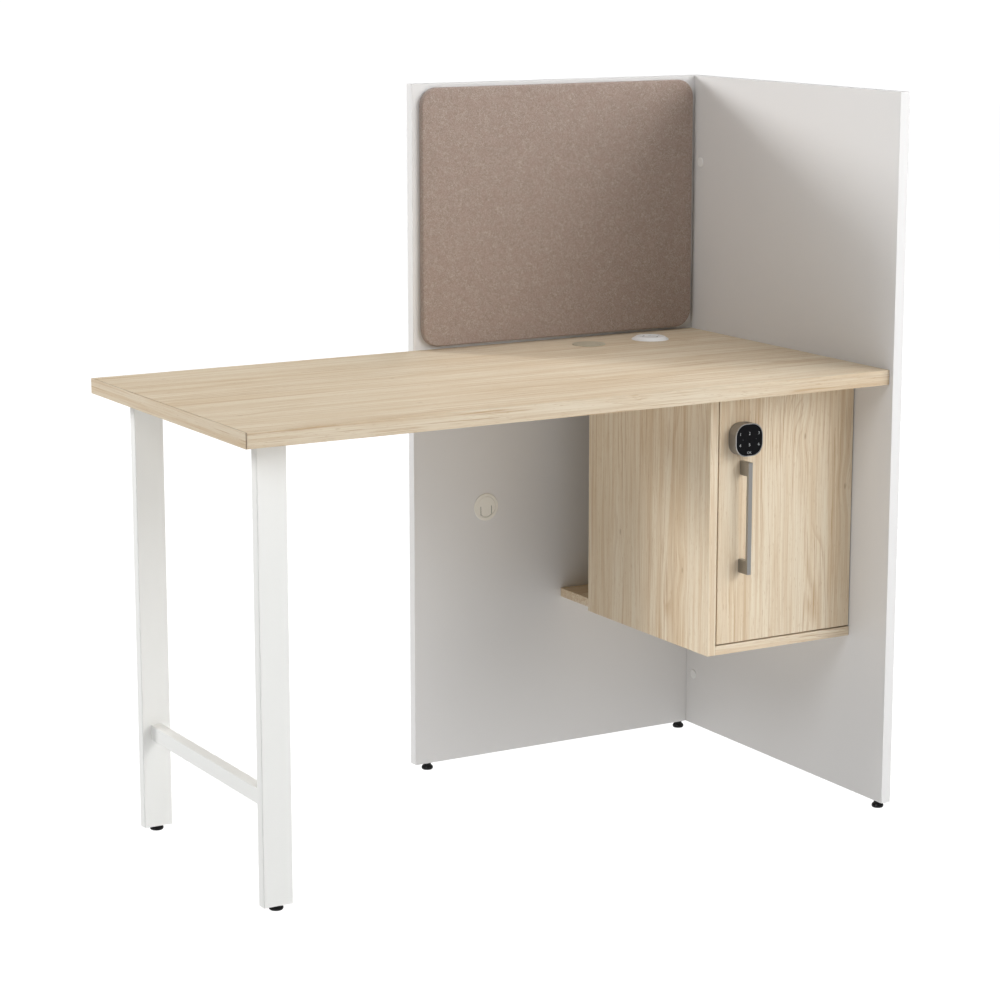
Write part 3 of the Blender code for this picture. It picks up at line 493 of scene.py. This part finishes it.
powder = Finish("powder_coat", POWDER, 0.36)
here = powder.place()
peel = powder.noise(here, (PEEL_PER_METRE,) * 3)
powder.feed("Base Color", powder.blend(POWDER, POWDER_DARK, peel))
powder.feed("Roughness", 0.33 + powder.noise(here, (30.0,) * 3) * 0.08)
powder.bump(peel, PEEL_DEPTH, 0.6)
powder.paint("front_leg_tube", "rear_leg_tube", "front_leg_plate", "rear_leg_plate", "leg_stretcher")
print("powder coat on the leg frame")

# %% [markdown]
# ## Black mouldings
# The glides are glossy black nylon, and the works case behind the door is a spark-eroded black
# plastic with a finer grain. Both are one recipe with its own gloss and its own grain. The glides
# stand on a bright floor, so their specular level is halved to keep them black.


# %% Black plastic
def moulding(name, light, dark, roughness, grain_per_metre, depth):
    """Moulded plastic: two close tones, a drifting gloss, and a fine grain."""
    made = Finish(name, light, roughness)
    here = made.place()
    cloud = made.noise(here, (60.0,) * 3)
    made.feed("Base Color", made.blend(light, dark, cloud))
    made.feed("Roughness", roughness - 0.04 + cloud * 0.08)
    made.bump(made.noise(here, (grain_per_metre,) * 3), depth, 0.5)
    return made


NYLON = (0.012, 0.012, 0.013), (0.006, 0.006, 0.007)
CASE = (0.016, 0.016, 0.017), (0.010, 0.010, 0.011)
GLIDE_SPECULAR = 0.25

glide_nylon = moulding("glide_nylon", *NYLON, 0.22, 900.0, 0.00003)
glide_nylon.feed("Specular IOR Level", GLIDE_SPECULAR)
glide_nylon.paint(*[name for name in nodes if "glide" in name])
case_black = moulding("case_black", *CASE, 0.48, 2200.0, 0.00006)
case_black.paint("front_leg_plug", "rear_leg_plug", "tackboard_strip_left", "tackboard_strip_right",
                 "door_stop", "lock_works_case", "lock_battery_cover")
print("black mouldings:", glide_nylon.material.name, case_black.material.name)

# %% [markdown]
# ## White and cream mouldings
# The power unit and the cover caps are bright white. The cable port in the screen is cream, and the
# one in the worksurface a beige near the wood's own tone, so that it hardly shows.

# %% Pale plastic
WHITE_TONES = (0.90, 0.90, 0.89), (0.86, 0.86, 0.85)
CREAM_TONES = (0.92, 0.90, 0.83), (0.89, 0.87, 0.80)
BEIGE_TONES = (0.50, 0.45, 0.34), (0.47, 0.42, 0.31)
FINE_GRAIN = 1500.0

white_moulding = moulding("white_moulding", *WHITE_TONES, 0.30, FINE_GRAIN, 0.00003)
white_moulding.paint("power_bezel", "power_body", "power_socket", "cam_cap_upper", "cam_cap_lower")
cream_moulding = moulding("cream_moulding", *CREAM_TONES, 0.40, FINE_GRAIN, 0.00004)
cream_moulding.paint("panel_port_liner", "panel_port_cap")
beige_moulding = moulding("beige_moulding", *BEIGE_TONES, 0.40, FINE_GRAIN, 0.00004)
beige_moulding.paint("desk_port_liner", "desk_port_cap")
print("pale mouldings:", white_moulding.material.name, cream_moulding.material.name,
      beige_moulding.material.name)

# %% [markdown]
# ## Metals
# Brushed metal is made by dragging an abrasive one way, so its scratches are noise drawn out along
# one axis, and they change the gloss as well as the colour. The pull and the lock's case are brushed
# nickel, and the hidden fittings are plain zinc-plated steel with soft cloudy patches.


# %% Metals
SCRATCHES = (25.0, 3500.0, 3500.0)
PULL_TONES = (0.46, 0.45, 0.435), (0.37, 0.36, 0.345)
LOCK_TONES = (0.41, 0.41, 0.42), (0.32, 0.32, 0.33)
ZINC = (0.66, 0.66, 0.64)
ZINC_DULL = (0.52, 0.52, 0.51)
STEEL_WORDS = ("cam_upper", "cam_lower", "cam_bolt", "bush", "bracket", "strike", "hinge", "screw",
               "bolt")


def brushed(name, order, light, dark, roughness):
    """Brushed metal, with its scratches along the first axis of order."""
    made = Finish(name, light, roughness, 1.0)
    here = made.place(order)
    scratch = made.noise(here, SCRATCHES, 3.0, 0.6)
    made.feed("Base Color", made.blend(light, dark, scratch))
    made.feed("Roughness", roughness - 0.06 + scratch * 0.14)
    made.bump(scratch, 0.00003, 0.4)
    return made


brushed("nickel_pull", "zxy", *PULL_TONES, 0.34).paint("door_pull")
brushed("nickel_case", "yxz", *LOCK_TONES, 0.38).paint("lock_case")

zinc = Finish("zinc_plate", ZINC, 0.35, 1.0)
here = zinc.place()
cloud = zinc.noise(here, (140.0,) * 3, 4.0, 0.6)
zinc.feed("Base Color", zinc.blend(ZINC, ZINC_DULL, cloud))
zinc.feed("Roughness", 0.26 + cloud * 0.18)
zinc.bump(zinc.noise(here, (1800.0,) * 3), 0.00002, 0.5)
zinc.paint(*[name for name in nodes if any(word in name for word in STEEL_WORDS)])
print("metals: pull, lock case and", zinc.material.name)

# %% [markdown]
# ## Keypad face
# The keypad is a smoked plate with an anti-glare surface: nearly black, and less mirror-like than
# glass, so its specular level is well under the usual half.

# %% Keypad black
SMOKE = (0.006, 0.006, 0.007)
SMOKE_HAZE = (0.010, 0.010, 0.011)
ANTI_GLARE = 0.04

key_black = Finish("keypad_black", SMOKE, 0.22)
key_black.feed("Specular IOR Level", ANTI_GLARE)
here = key_black.place()
haze = key_black.noise(here, (200.0,) * 3)
key_black.feed("Base Color", key_black.blend(SMOKE, SMOKE_HAZE, haze))
key_black.feed("Roughness", 0.18 + haze * 0.08)
key_black.paint("lock_keypad")
print("keypad face:", key_black.material.name)

# %% [markdown]
# ## Fibreboard
# The tackboard's core is soft brown fibreboard: short matted fibres, so a noise with a strong
# distortion, and a rough surface.

# %% Fibreboard
PALE_FIBRE = (0.50, 0.40, 0.29)
BROWN_FIBRE = (0.34, 0.26, 0.18)
FIBRE_DEPTH = 0.0003

fibreboard = Finish("fibreboard", PALE_FIBRE, 0.9)
mat = fibreboard.noise(fibreboard.place(), (400.0,) * 3, 4.0, 0.7, 1.5)
fibreboard.feed("Base Color", fibreboard.blend(PALE_FIBRE, BROWN_FIBRE, mat))
fibreboard.bump(mat, FIBRE_DEPTH, 0.6)
fibreboard.paint("tackboard_core")
print("core:", fibreboard.material.name)

# %% [markdown]
# ## Felt
# Pressed felt is a mat of wool and polyester fibres in several shades, so up close it is a heather of
# light and dark specks, and from a distance one soft taupe. Three noises with strong distortion
# stand for fibres, specks and tufts that lie every way, and a slower one for thick and thin places.
# Each layer lays one shade over the last where its noise is high or low. Sheen, which is constant,
# gives the pale bloom that fibre ends make at grazing angles.

# %% Felt
TAUPE = (0.33, 0.26, 0.215)
DARK_FIBRE = (0.255, 0.190, 0.155)
LIGHT_FIBRE = (0.500, 0.405, 0.350)
FELT_DEPTH = 0.0005
FELT_SPECULAR = 0.1

felt = Finish("felt", TAUPE, 0.95, sheen_weight=0.35, sheen_roughness=0.5)
felt.feed("Specular IOR Level", FELT_SPECULAR)
here = felt.place()
fibre = felt.noise(here, (1100.0,) * 3, 3.0, 0.65, 2.2)
speck = felt.noise(here, (480.0,) * 3, 3.0, 0.7, 3.0)
tuft = felt.noise(here, (240.0,) * 3, 3.0, 0.65, 1.5)
thick = felt.noise(here, (46.0,) * 3, 3.0, 0.6)
tone = felt.blend(DARK_FIBRE, LIGHT_FIBRE, fibre.between(0.36, 0.64))
for shade, mask in (
    ((0.720, 0.620, 0.555), speck.between(0.53, 0.64) * 0.42),
    ((0.165, 0.115, 0.090), (1.0 - speck.between(0.36, 0.47)) * 0.42),
    ((0.205, 0.145, 0.115), (1.0 - tuft.between(0.40, 0.52)) * 0.34),
    ((0.600, 0.505, 0.450), tuft.between(0.52, 0.64) * 0.30),
    ((0.360, 0.262, 0.222), thick.between(0.44, 0.58) * 0.34),
):
    tone = felt.blend(tone, shade, mask)
felt.feed("Base Color", tone)
felt.bump(fibre * 0.7 + speck, FELT_DEPTH, 0.7)
print("felt ready:", felt.material.name)

# %% [markdown]
# ## Modelling helpers
# New pieces are modelled as by hand: a primitive at its size and place, shaped in edit mode, then
# modifiers. An operator works on whatever is selected, so each piece starts with nothing selected,
# and faces or edges are picked in code, by where they lie.


# %% Helpers for edit mode
def start():
    bpy.ops.object.select_all(action="DESELECT")


def box_piece(name, low, high):
    """A box between two places, ready to be shaped."""
    start()
    bpy.ops.mesh.primitive_cube_add(size=1.0, location=(low + high) / 2)
    piece = bpy.context.object
    piece.name = name
    piece.scale = high - low
    bpy.ops.object.transform_apply(location=True, rotation=True, scale=True)
    return piece


def pick(piece, kind, wanted):
    """Goes into edit mode with only the wanted faces, edges or vertices selected."""
    bpy.context.view_layer.objects.active = piece
    bpy.ops.object.mode_set(mode="EDIT")
    bpy.ops.mesh.select_mode(type=kind)
    mesh = bmesh.from_edit_mesh(piece.data)
    for item in (*mesh.verts, *mesh.edges, *mesh.faces):
        item.select = False
    chosen = {"VERT": mesh.verts, "EDGE": mesh.edges, "FACE": mesh.faces}[kind]
    for item in chosen:
        if wanted(item):
            item.select = True
    mesh.select_flush_mode()
    bmesh.update_edit_mesh(piece.data)


def done():
    bpy.ops.object.mode_set(mode="OBJECT")


def facing(axis, sign):
    return lambda face: face.normal[axis] * sign > 0.9


def along(axis):
    """Picks the edges that run along an axis."""
    return lambda edge: abs((edge.verts[1].co - edge.verts[0].co).normalized()[axis]) > 0.99


def modifier(piece, kind, **settings):
    """Adds a modifier, sets it and applies it."""
    start()
    piece.select_set(True)
    bpy.context.view_layer.objects.active = piece
    added = piece.modifiers.new(kind.lower(), kind)
    for name, value in settings.items():
        setattr(added, name, value)
    bpy.ops.object.modifier_apply(modifier=added.name)


def merge(name, pieces):
    """Joins copies into one piece and puts its place into its mesh."""
    start()
    for piece in pieces:
        piece.select_set(True)
    bpy.context.view_layer.objects.active = pieces[0]
    if len(pieces) > 1:
        bpy.ops.object.join()
    bpy.ops.object.transform_apply(location=True, rotation=True, scale=True)
    joined = bpy.context.object
    joined.name = name
    return joined


def settle(piece, finish, body, angle=35.0):
    """The last step of every new piece: smooth shading, its finish, and the body it rides on."""
    start()
    piece.select_set(True)
    bpy.context.view_layer.objects.active = piece
    bpy.ops.object.shade_smooth_by_angle(angle=math.radians(angle))
    piece.data.name = piece.name
    piece.data.materials.clear()
    piece.data.materials.append(finish.material)
    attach(piece, body)
    print(piece.name, "has", len(piece.data.polygons), "faces and rides on", body)
    return piece


# %% [markdown]
# ## The felt skin
# The frame's own skin is a plain hollow slab. The real one is felt pulled round a board: its front
# edge is a soft roll, and its face is never quite flat. A box gets its four corners rounded and its
# back opened, a row of bisect cuts gives the face enough points, and a slow noise lifts and sinks
# them by a fraction of a millimetre. Solidify turns the sheet into cloth with a thickness.

# %% Felt skin
FELT_THICKNESS = 0.0014
FELT_CORNER = 0.032
FELT_ROLL = 0.0035
FELT_CELL = 0.016
FELT_SWELL = 0.00035
SWELLS_PER_METRE = 14.0

skin_low, skin_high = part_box("tackboard_cover")
skin = box_piece("felt_skin", skin_low, skin_high)
pick(skin, "FACE", facing(1, 1))
bpy.ops.mesh.delete(type="FACE")
done()
pick(skin, "EDGE", along(1))
bpy.ops.mesh.bevel(offset=FELT_CORNER, segments=12, affect="EDGES")
done()
pick(skin, "FACE", facing(1, -1))
bpy.ops.mesh.region_to_loop()
bpy.ops.mesh.bevel(offset=FELT_ROLL, segments=4, affect="EDGES")
done()


def slice_along(piece, axis, low, high, cell):
    """Cuts a piece with evenly spaced planes across one axis."""
    count = round((high - low) / cell)
    normal = Vector([float(axis == index) for index in range(3)])
    for step in range(1, count):
        pick(piece, "FACE", lambda face: True)
        place = normal * (low + (high - low) * step / count)
        bpy.ops.mesh.bisect(plane_co=place, plane_no=normal)
        done()


slice_along(skin, 0, skin_low.x, skin_high.x, FELT_CELL)
slice_along(skin, 2, skin_low.z, skin_high.z, FELT_CELL)
for vertex in skin.data.vertices:
    inside = min(vertex.co.x - skin_low.x, skin_high.x - vertex.co.x,
                 vertex.co.z - skin_low.z, skin_high.z - vertex.co.z)
    if inside > FELT_ROLL * 2.0:
        vertex.co.y += FELT_SWELL * (1.0 + noise.noise(vertex.co * SWELLS_PER_METRE))
modifier(skin, "SOLIDIFY", thickness=FELT_THICKNESS, offset=-1.0)
settle(skin, felt, "carrel", 50.0)
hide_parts("tackboard_cover")

# %% [markdown]
# ## Keypad digits
# The digits are printed on the plate in pale ink, and a faint emission paints a glow on them. A text
# object is the right tool for a plain digit.
# Its strokes are thinned a little by a negative offset. It is turned to face the front, given a hair
# of thickness, and made a mesh, so that it stands a few hundredths of a millimetre off the plate.

# %% Digits
DIGIT_HEIGHT = 0.0074
DIGIT_PITCH_X = 0.0189
DIGIT_PITCH_Z = 0.0193
DIGIT_PROUD = 0.00006
DIGIT_THINNER = -0.00010
OK_SHARE = 0.87
OK_DROP = 0.0325
ROW_RISE = 0.0108

key_low, key_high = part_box("lock_keypad")
key_middle = (key_low + key_high) / 2
UPPER_ROW = key_middle.z + ROW_RISE
LEGENDS = {"1": (-1, 0), "2": (0, 0), "3": (1, 0), "4": (-1, 1), "5": (0, 1), "6": (1, 1)}


def printed(text, x, z, height):
    start()
    bpy.ops.object.text_add(location=(x, key_low.y - DIGIT_PROUD, z),
                            rotation=(math.pi / 2, 0.0, 0.0))
    letters = bpy.context.object
    letters.data.body = text
    letters.data.size = height
    letters.data.align_x = "CENTER"
    letters.data.align_y = "CENTER"
    letters.data.offset = DIGIT_THINNER
    letters.data.extrude = DIGIT_PROUD
    bpy.ops.object.convert(target="MESH")
    return bpy.context.object


digits = []
for text, (column, row) in LEGENDS.items():
    digits.append(printed(text, key_middle.x + column * DIGIT_PITCH_X,
                          UPPER_ROW - row * DIGIT_PITCH_Z, DIGIT_HEIGHT))
digits.append(printed("OK", key_middle.x, UPPER_ROW - OK_DROP, DIGIT_HEIGHT * OK_SHARE))
# The emission is a painted glow: printed ink gives off no light.
digit_ink_glow = Finish("digit_ink_glow", (0.46, 0.48, 0.49), 0.5, emission_strength=0.08)
digit_ink_glow.feed("Emission Color", (0.8, 0.82, 0.85, 1.0))
digit_ink_glow.feed("Roughness", 0.45 + digit_ink_glow.noise(digit_ink_glow.place(), (900.0,) * 3) * 0.1)
settle(merge("keypad_digits", digits), digit_ink_glow, "door")

# %% [markdown]
# ## The lock's rim
# A thin bright frame runs round the keypad where the case is polished. It starts as a flat square,
# whose four corners are bevelled round, is inset to make a ring, and is pulled forward a little.

# %% Rim
RIM_WIDTH = 0.0006
RIM_PROUD = 0.0003
RIM_EASE = 0.3
CASE_CORNER = 0.0213

case_low, case_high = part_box("lock_case")


def rounded_ring(name, low, high, y, radius, width, depth):
    """A flat rounded ring facing the front."""
    start()
    middle = (low + high) / 2
    bpy.ops.mesh.primitive_plane_add(size=1.0, location=(middle.x, y, middle.z),
                                     rotation=(math.pi / 2, 0.0, 0.0))
    ring = bpy.context.object
    ring.name = name
    ring.scale = (high.x - low.x, high.z - low.z, 1.0)
    bpy.ops.object.transform_apply(location=True, rotation=True, scale=True)
    pick(ring, "VERT", lambda vertex: True)
    bpy.ops.mesh.bevel(offset=radius, segments=12, affect="VERTICES")
    done()
    pick(ring, "FACE", lambda face: True)
    bpy.ops.mesh.inset(thickness=width, depth=0.0)
    bpy.ops.mesh.delete(type="FACE")
    done()
    modifier(ring, "SOLIDIFY", thickness=depth, offset=0.0)
    modifier(ring, "BEVEL", width=min(width, depth) * RIM_EASE, segments=2, limit_method="ANGLE")
    return ring


rim = rounded_ring("lock_rim", case_low, case_high, case_low.y - RIM_PROUD / 2, CASE_CORNER,
                   RIM_WIDTH, RIM_PROUD * 2.0)
polished = Finish("polished_nickel", (0.78, 0.77, 0.75), 0.16, 1.0)
polished.feed("Roughness", 0.12 + polished.noise(polished.place(), (500.0,) * 3) * 0.10)
settle(rim, polished, "door")

# %% [markdown]
# Two faint marks between the rows show where the plate is touched to wake it. A thin disc each is
# enough, in a grey that only just shows.

# %% Wake marks
MARK_R = 0.0006
MARK_REACH = 0.0135


def disc(x, z):
    start()
    bpy.ops.mesh.primitive_cylinder_add(vertices=16, radius=MARK_R, depth=DIGIT_PROUD * 2.0,
                                        location=(x, key_low.y - DIGIT_PROUD, z),
                                        rotation=(math.pi / 2, 0.0, 0.0))
    return bpy.context.object


between_rows = UPPER_ROW - DIGIT_PITCH_Z / 2
marks = [disc(key_middle.x + side * MARK_REACH, between_rows) for side in (-1, 1)]
mark_grey = Finish("mark_grey", (0.10, 0.10, 0.11), 0.5)
mark_grey.feed("Roughness", 0.45 + mark_grey.noise(mark_grey.place(), (900.0,) * 3) * 0.1)
settle(merge("keypad_marks", marks), mark_grey, "door")

# %% [markdown]
# ## The power unit's ports
# Each charging port has a thin plastic tongue that carries its contacts, and it is the tongue, not
# the hole, that shows from outside. Two short black arcs lie across the face from each other.
# An arc is a small flat quad swept through part of a turn with Spin.

# %% Charging tongues and dark arcs
TONGUES = {"wide": (0.0056, 0.0105, 0.0066, 0.0020), "small": (-0.0056, 0.0105, 0.0042, 0.0014)}
TONGUE_DEPTH = 0.0060
TONGUE_UNDER = 0.0001
TONGUE_EDGE = 0.0003
BLUE_TONES = (0.16, 0.20, 0.27), (0.12, 0.15, 0.21)
ARC_RADIUS = 0.0132
ARC_WIDTH = 0.0011
ARC_HEIGHT = 0.0003
ARC_SWEEP = math.radians(46.0)

socket_low, socket_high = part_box("power_socket")
hub = (socket_low + socket_high) / 2
face_z = socket_high.z
tongues = []
for name, (x, y, size_x, size_y) in TONGUES.items():
    half = Vector((size_x / 2, size_y / 2, 0.0))
    middle = Vector((hub.x + x, hub.y + y, face_z - TONGUE_UNDER))
    deep = Vector((0.0, 0.0, TONGUE_DEPTH))
    tongue = box_piece(f"tongue_{name}", middle - half - deep, middle + half)
    modifier(tongue, "BEVEL", width=TONGUE_EDGE, segments=2)
    tongues.append(tongue)
tongue_blue = moulding("tongue_blue", *BLUE_TONES, 0.40, FINE_GRAIN, 0.00003)
settle(merge("charging_tongues", tongues), tongue_blue, "carrel")


def dark_arc(turn):
    start()
    bpy.ops.mesh.primitive_plane_add(size=1.0, rotation=(math.pi / 2, 0.0, 0.0))
    mark = bpy.context.object
    mark.scale = (ARC_WIDTH, ARC_HEIGHT, 1.0)
    mark.location = (ARC_RADIUS, 0.0, 0.0)
    bpy.ops.object.transform_apply(location=True, rotation=True, scale=True)
    pick(mark, "FACE", lambda face: True)
    bpy.ops.mesh.spin(steps=12, angle=ARC_SWEEP, center=(0.0, 0.0, 0.0), axis=(0.0, 0.0, 1.0))
    bpy.ops.mesh.select_all(action="SELECT")
    bpy.ops.mesh.normals_make_consistent(inside=False)
    done()
    mark.location = (hub.x, hub.y, face_z)
    mark.rotation_euler.z = turn - ARC_SWEEP / 2
    return mark


dark_arcs = [dark_arc(turn) for turn in (0.0, math.pi)]
settle(merge("power_dark_arcs", dark_arcs), case_black, "carrel")

# %% [markdown]
# ## Screws
# The brackets, plates and hinges are held by cross-head screws. One head is modelled: a short
# cylinder whose upper rim is bevelled round, with a cross cut into it by two thin boxes. Every other
# one is a copy with its own mesh, stood on its fitting and turned to face away from it.

# %% One screw head
HEAD_R = 0.0033
HEAD_H = 0.0013
CROSS_LENGTH = 0.0038
CROSS_WIDTH = 0.0008
CROSS_DEPTH = 0.0008

start()
bpy.ops.mesh.primitive_cylinder_add(vertices=32, radius=HEAD_R, depth=HEAD_H,
                                    location=(0.0, 0.0, HEAD_H / 2))
bpy.ops.object.transform_apply(location=True, rotation=True, scale=True)
screw = bpy.context.object
pick(screw, "EDGE", lambda edge: all(vertex.co.z > HEAD_H * 0.9 for vertex in edge.verts))
bpy.ops.mesh.bevel(offset=HEAD_H * 0.6, segments=4, affect="EDGES")
done()
for length, width in ((CROSS_LENGTH, CROSS_WIDTH), (CROSS_WIDTH, CROSS_LENGTH)):
    reach = Vector((length / 2, width / 2, 0.0))
    blade = box_piece("blade", Vector((0.0, 0.0, HEAD_H - CROSS_DEPTH)) - reach,
                      Vector((0.0, 0.0, HEAD_H * 2.0)) + reach)
    modifier(screw, "BOOLEAN", object=blade, operation="DIFFERENCE", solver="EXACT")
    bpy.data.objects.remove(blade)
print("screw head:", len(screw.data.polygons), "faces")

# %% [markdown]
# The places come from the boxes of the fittings: a share of the way across each face, and the
# direction that face looks in. A bracket is an angle, so the screws in its two inner faces sit well
# inside its box.

# %% Screws on their fittings
DOWN = Vector((0.0, 0.0, -1.0))
FORWARD = Vector((0.0, -1.0, 0.0))
REARWARD = Vector((0.0, 1.0, 0.0))
LEFTWARD = Vector((-1.0, 0.0, 0.0))
BRACKET_DOWN = 0.0275
BRACKET_FORWARD = 0.0272
BRACKET_SHARE = 0.40
LEG_PLATE_SHARE = 0.867


def on_face(node, direction, shares, inward=0.0):
    """A place on one side of a node's box, given by its shares along the other two axes."""
    low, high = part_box(node)
    place = Vector()
    left_over = iter(shares)
    for axis in range(3):
        if direction[axis] < 0:
            place[axis] = low[axis] + inward
        elif direction[axis] > 0:
            place[axis] = high[axis] - inward
        else:
            place[axis] = low[axis] + (high[axis] - low[axis]) * next(left_over)
    return place, direction


def screws(name, body, places):
    heads = []
    for place, direction in places:
        head = screw.copy()
        head.data = screw.data.copy()
        bpy.context.scene.collection.objects.link(head)
        head.location = place
        head.rotation_euler = direction.to_track_quat("Z", "Y").to_euler()
        heads.append(head)
    return settle(merge(name, heads), zinc, body)


fixed = []
for side in ("left", "right"):
    bracket = f"desk_bracket_{side}"
    for share in (0.25, 0.75):
        fixed.append(on_face(bracket, DOWN, (share, BRACKET_SHARE), BRACKET_DOWN))
        fixed.append(on_face(bracket, FORWARD, (share, BRACKET_SHARE), BRACKET_FORWARD))
for leg in ("front", "rear"):
    for share in (0.20, 0.80):
        fixed.append(on_face(f"{leg}_leg_plate", DOWN, (LEG_PLATE_SHARE, share)))
for hinge in ("upper", "lower"):
    for share in (0.13, 0.87):
        fixed.append(on_face(f"hinge_plate_{hinge}", LEFTWARD, (0.5, share)))
screws("fixed_screws", "carrel", fixed)

moving = []
for hinge in ("upper", "lower"):
    for share in (0.09, 0.91):
        moving.append(on_face(f"hinge_cup_{hinge}", REARWARD, (0.5, share)))
for share in (0.08, 0.92):
    moving.append(on_face("lock_battery_cover", REARWARD, (0.5, share)))
screws("door_screws", "door", moving)
bpy.data.objects.remove(screw)

# %% [markdown]
# ## The panel port's rear ring
# Behind the screen a second ring clips on to the sleeve of the cable port. It is a torus pressed
# flat, so that only its rounded front half stands off the board.

# %% Rear ring
RING_MIDDLE_R = 0.0228
RING_HALF_W = 0.0032
RING_PROUD = 0.0016
RING_OFF = 0.0002

port_low, port_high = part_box("panel_port_liner")
port_middle = (port_low + port_high) / 2
panel_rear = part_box("back_panel")[1].y
start()
bpy.ops.mesh.primitive_torus_add(major_radius=RING_MIDDLE_R, minor_radius=RING_HALF_W,
                                 major_segments=64, minor_segments=16)
ring = bpy.context.object
ring.scale.z = RING_PROUD / RING_HALF_W
bpy.ops.object.transform_apply(location=False, rotation=False, scale=True)
pick(ring, "FACE", lambda face: True)
bpy.ops.mesh.bisect(plane_co=(0.0, 0.0, 0.0), plane_no=(0.0, 0.0, 1.0), use_fill=True,
                    clear_inner=True)
done()
ring.location = (port_middle.x, panel_rear + RING_OFF, port_middle.z)
ring.rotation_euler = REARWARD.to_track_quat("Z", "Y").to_euler()
settle(merge("panel_port_ring", [ring]), cream_moulding, "carrel")

# %% [markdown]
# ## Painted shade in the cable caps
# Each cap has a thin U-shaped slot round the tongue that bends back to let a cable through. A dark
# filling is put in the slot to paint the shade that lies in it. A disc a little under the cap's face,
# less the cap itself, leaves exactly that: the filling of the slot.

# %% Painted shade in the slots
SHADE_FILL_UNDER = 0.0003
SHADE_FILL_DEPTH = 0.0015
SHADE_FILL_SHARE = 0.90

# A near-black moulding that paints the shade inside the cap slots.
SLOT_SHADE_TONES = (0.055, 0.062, 0.055), (0.030, 0.036, 0.032)

slot_shade_dark = moulding("slot_shade_dark", *SLOT_SHADE_TONES, 0.85, 900.0, 0.0001)


# Fills a cap's slot with a dark disc that stands in for the shade in it.
def fill_slot_shade(name, cap, direction):
    low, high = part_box(cap)
    middle = (low + high) / 2
    axis = 2 if direction.z else 1
    middle[axis] = high[axis] if sum(direction) > 0 else low[axis]
    radius = (high.x - low.x) / 2 * SHADE_FILL_SHARE
    start()
    bpy.ops.mesh.primitive_cylinder_add(vertices=48, radius=radius, depth=SHADE_FILL_DEPTH,
                                        location=middle - direction * (SHADE_FILL_UNDER + SHADE_FILL_DEPTH / 2),
                                        rotation=direction.to_track_quat("Z", "Y").to_euler())
    shade_fill = bpy.context.object
    bpy.ops.object.transform_apply(location=True, rotation=True, scale=True)
    modifier(shade_fill, "BOOLEAN", object=nodes[cap], operation="DIFFERENCE", solver="EXACT")
    shade_fill.name = name
    settle(shade_fill, slot_shade_dark, cap)


fill_slot_shade("desk_port_slot_shade", "desk_port_cap", Vector((0.0, 0.0, 1.0)))
fill_slot_shade("panel_port_slot_shade", "panel_port_cap", FORWARD)
